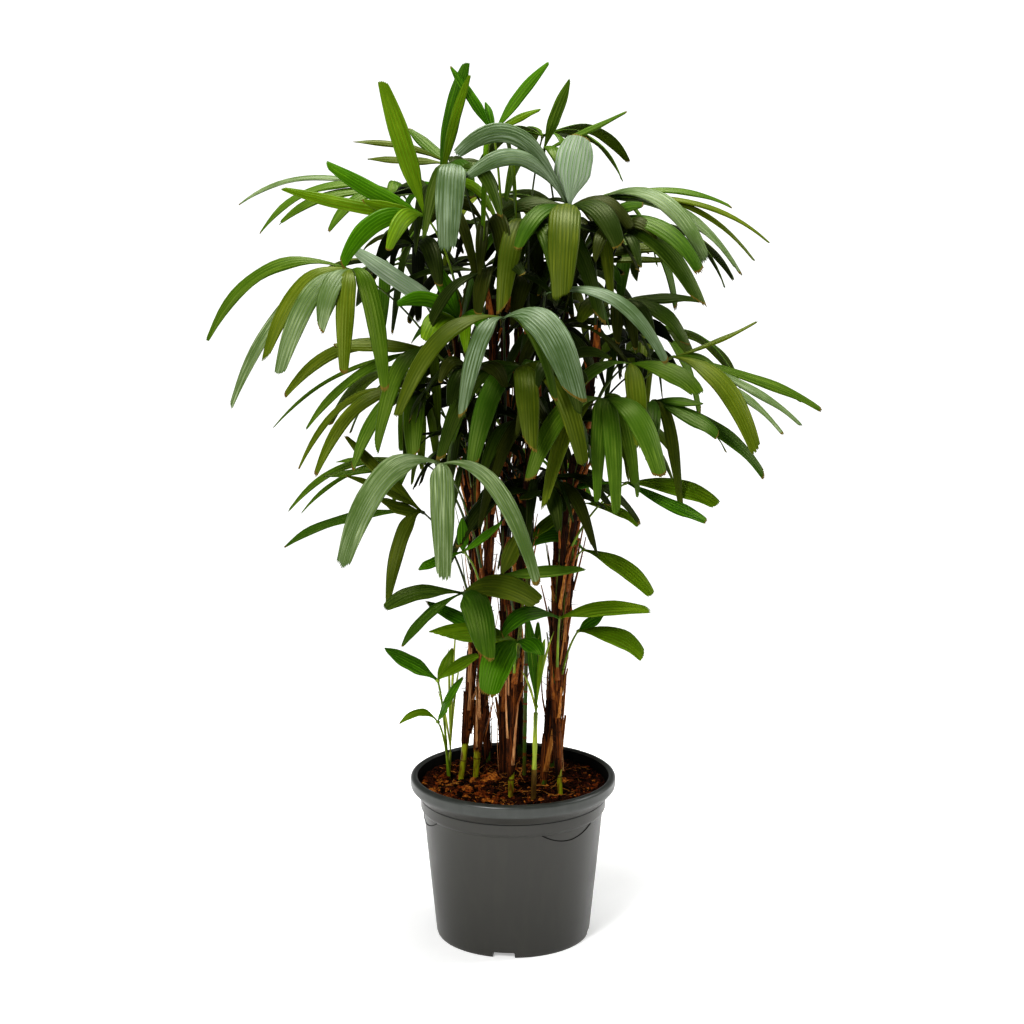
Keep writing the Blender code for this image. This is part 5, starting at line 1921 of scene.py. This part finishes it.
    def cut(self, pot: bpy.types.Object) -> None:
        """Cuts the four slots at the foot and the drain holes in the floor.

        Args:
            pot: the closed shell.
        """
        slot_middle = self.foot_radius + self.slot_outside - self.slot_size[0] / 2
        for index in range(self.slots):
            angle = math.radians(self.first_slot + index * 360 / self.slots - 90)
            deselect()
            bpy.ops.mesh.primitive_cube_add(
                size=1.0, location=level_way(angle) * slot_middle, rotation=(0.0, 0.0, angle),
                scale=self.slot_size)
            bpy.ops.object.mode_set(mode="EDIT")
            bpy.ops.mesh.select_all(action="SELECT")
            bpy.ops.mesh.bevel(offset=self.slot_round, segments=3, affect="EDGES")
            bpy.ops.object.mode_set(mode="OBJECT")
            self.subtract(pot, bpy.context.object)
            deselect()
            bpy.ops.mesh.primitive_cylinder_add(
                vertices=20, radius=self.drain_radius, depth=self.drain_depth,
                location=level_way(angle) * self.drain_from_axis + (0.0, 0.0, self.floor))
            self.subtract(pot, bpy.context.object)

    def subtract(self, pot: bpy.types.Object, cutter: bpy.types.Object) -> None:
        """Takes one shape out of the pot and removes the shape.

        Args:
            pot: the shape that is cut.
            cutter: the shape that is taken out of it.
        """
        select_only(pot)
        hole = pot.modifiers.new("Hole", "BOOLEAN")
        hole.operation = "DIFFERENCE"
        hole.solver = "EXACT"
        hole.object = cutter
        bpy.ops.object.modifier_apply(modifier=hole.name)
        bpy.data.objects.remove(cutter, do_unlink=True)

    def dress(self, pot: bpy.types.Object) -> None:
        """Gives the wall, the lip and the inside their finishes: the lip a lighter copy of the plastic as
        painted light, the inside a near-black copy as painted shade.

        Args:
            pot: the finished shape.
        """
        mesh = pot.data
        mesh.materials.clear()
        for finish in (PLASTIC, PLASTIC_LIP_PAINTED_LIGHT, PLASTIC_PAINTED_SHADE):
            mesh.materials.append(material_of(finish))
        for face in mesh.polygons:
            x, y, z = face.center
            radius = math.hypot(x, y)
            inward = face.normal.x * x + face.normal.y * y < 0
            if z > self.lip - 0.001 and radius > self.mouth_radius - 0.0005:
                # the lip takes the lighter plastic: painted light
                face.material_index = 1
            elif z > self.floor - 0.001 and (inward or radius < 0.02):
                # the inside takes the near-black plastic: painted shade
                face.material_index = 2
        select_only(pot)
        bpy.ops.object.shade_smooth_by_angle(angle=math.radians(self.smooth_deg))


@dataclass(frozen=True)
class SoftLight:
    """One large soft light: where it hangs, how wide it is, and its power in watts."""

    name: str
    place: tuple[float, float, float]
    size: float
    power: float

    def add(self, target: Vector) -> None:
        """Adds the light, turned towards the target.

        Args:
            target: the point that it lights.
        """
        lamp = bpy.data.lights.new(self.name, "AREA")
        lamp.shape = "DISK"
        lamp.size = self.size
        lamp.energy = self.power
        thing = bpy.data.objects.new(self.name, lamp)
        bpy.context.scene.collection.objects.link(thing)
        thing.location = self.place
        way = target - Vector(self.place)
        thing.rotation_euler = way.to_track_quat("-Z", "Y").to_euler()


@dataclass
class Studio:
    """A white table and backdrop under large soft lights, and the camera."""

    floor_radius: float = 1.15
    camera_place: tuple[float, float, float] = (0.0, -3.0, 1.233)
    camera_tilt_deg: float = 77.925
    lens: float = 80.79
    sensor: float = 36.0
    shift: float = -1.1 / 1024
    aim: tuple[float, float, float] = (0.0, 0.0, 0.65)
    horizon: float = 1.0
    dome: float = 0.14
    dims_between: tuple[float, float] = (0.04, 0.14)
    lights: tuple[SoftLight, ...] = (
        SoftLight("front_light", (-1.3, -2.5, 2.1), 0.9, 72.0),
        SoftLight("top_light", (0.1, 0.2, 3.0), 1.2, 84.0),
        SoftLight("right_light", (2.4, 0.4, 2.0), 1.0, 26.0),
    )

    def build(self) -> None:
        """Makes the floor, the world, the lights and the camera."""
        self.table()
        scene = bpy.context.scene
        scene.world = self.room()
        scene.view_settings.view_transform = "Standard"
        scene.view_settings.look = "Medium High Contrast"
        for light in self.lights:
            light.add(Vector(self.aim))
        scene.camera = self.camera()

    def table(self) -> None:
        """Adds the round floor that the pot stands on."""
        deselect()
        bpy.ops.mesh.primitive_circle_add(vertices=96, radius=self.floor_radius, fill_type="NGON")
        floor = bpy.context.object
        floor.name = "studio_floor"
        floor.data.materials.append(material_of(FLOOR))
        floor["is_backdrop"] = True

    def camera(self) -> bpy.types.Object:
        """Returns the camera, in front of the pot and tilted down to it."""
        lens = bpy.data.cameras.new("camera")
        lens.lens = self.lens
        lens.sensor_width = self.sensor
        lens.shift_x = self.shift
        camera = bpy.data.objects.new("camera", lens)
        bpy.context.scene.collection.objects.link(camera)
        camera.location = self.camera_place
        camera.rotation_euler = (math.radians(self.camera_tilt_deg), 0.0, 0.0)
        return camera

    def room(self) -> bpy.types.World:
        """Returns a white room: bright near the horizon all round, dimmer overhead."""
        world = bpy.data.worlds.new("white_room")
        world.use_nodes = True
        tree = world.node_tree
        place = add_node(tree, "ShaderNodeTexCoord")
        height = add_node(tree, "ShaderNodeSeparateXYZ", links={"Vector": place.outputs["Generated"]})
        low, high = self.dims_between
        strength = add_node(tree, "ShaderNodeMapRange",
                            {"From Min": low, "From Max": high, "To Min": self.horizon, "To Max": self.dome},
                            {"Value": height.outputs["Z"]})
        sky = tree.nodes["Background"]
        sky.inputs["Color"].default_value = (1.0, 1.0, 1.0, 1.0)
        tree.links.new(strength.outputs["Result"], sky.inputs["Strength"])
        return world


def write_size(before: tuple[Vector, Vector], after: tuple[Vector, Vector]) -> None:
    """Logs how far the dressed model's size along each axis differs from the frame's.

    Args:
        before: the frame's two corners.
        after: the dressed model's two corners.
    """
    for axis, name in enumerate("XYZ"):
        grown = (after[1][axis] - after[0][axis]) - (before[1][axis] - before[0][axis])
        LOG.info("size along %s differs by %.1f mm", name, grown / MM)


def main() -> None:
    """Loads the frame and dresses each part of the palm in turn."""
    logging.basicConfig(level=logging.INFO, format="%(message)s")
    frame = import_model()
    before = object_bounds()
    NurseryPot().build()
    PottingMix().build()
    chance = np.random.default_rng(CANE_SEED)
    for cane in CANES:
        CaneDresser(CanePath(cane), chance).build()
    Crown(frame["nodes"]).build()
    Studio().build()
    write_size(before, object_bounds())


if __name__ == "__main__":
    main()
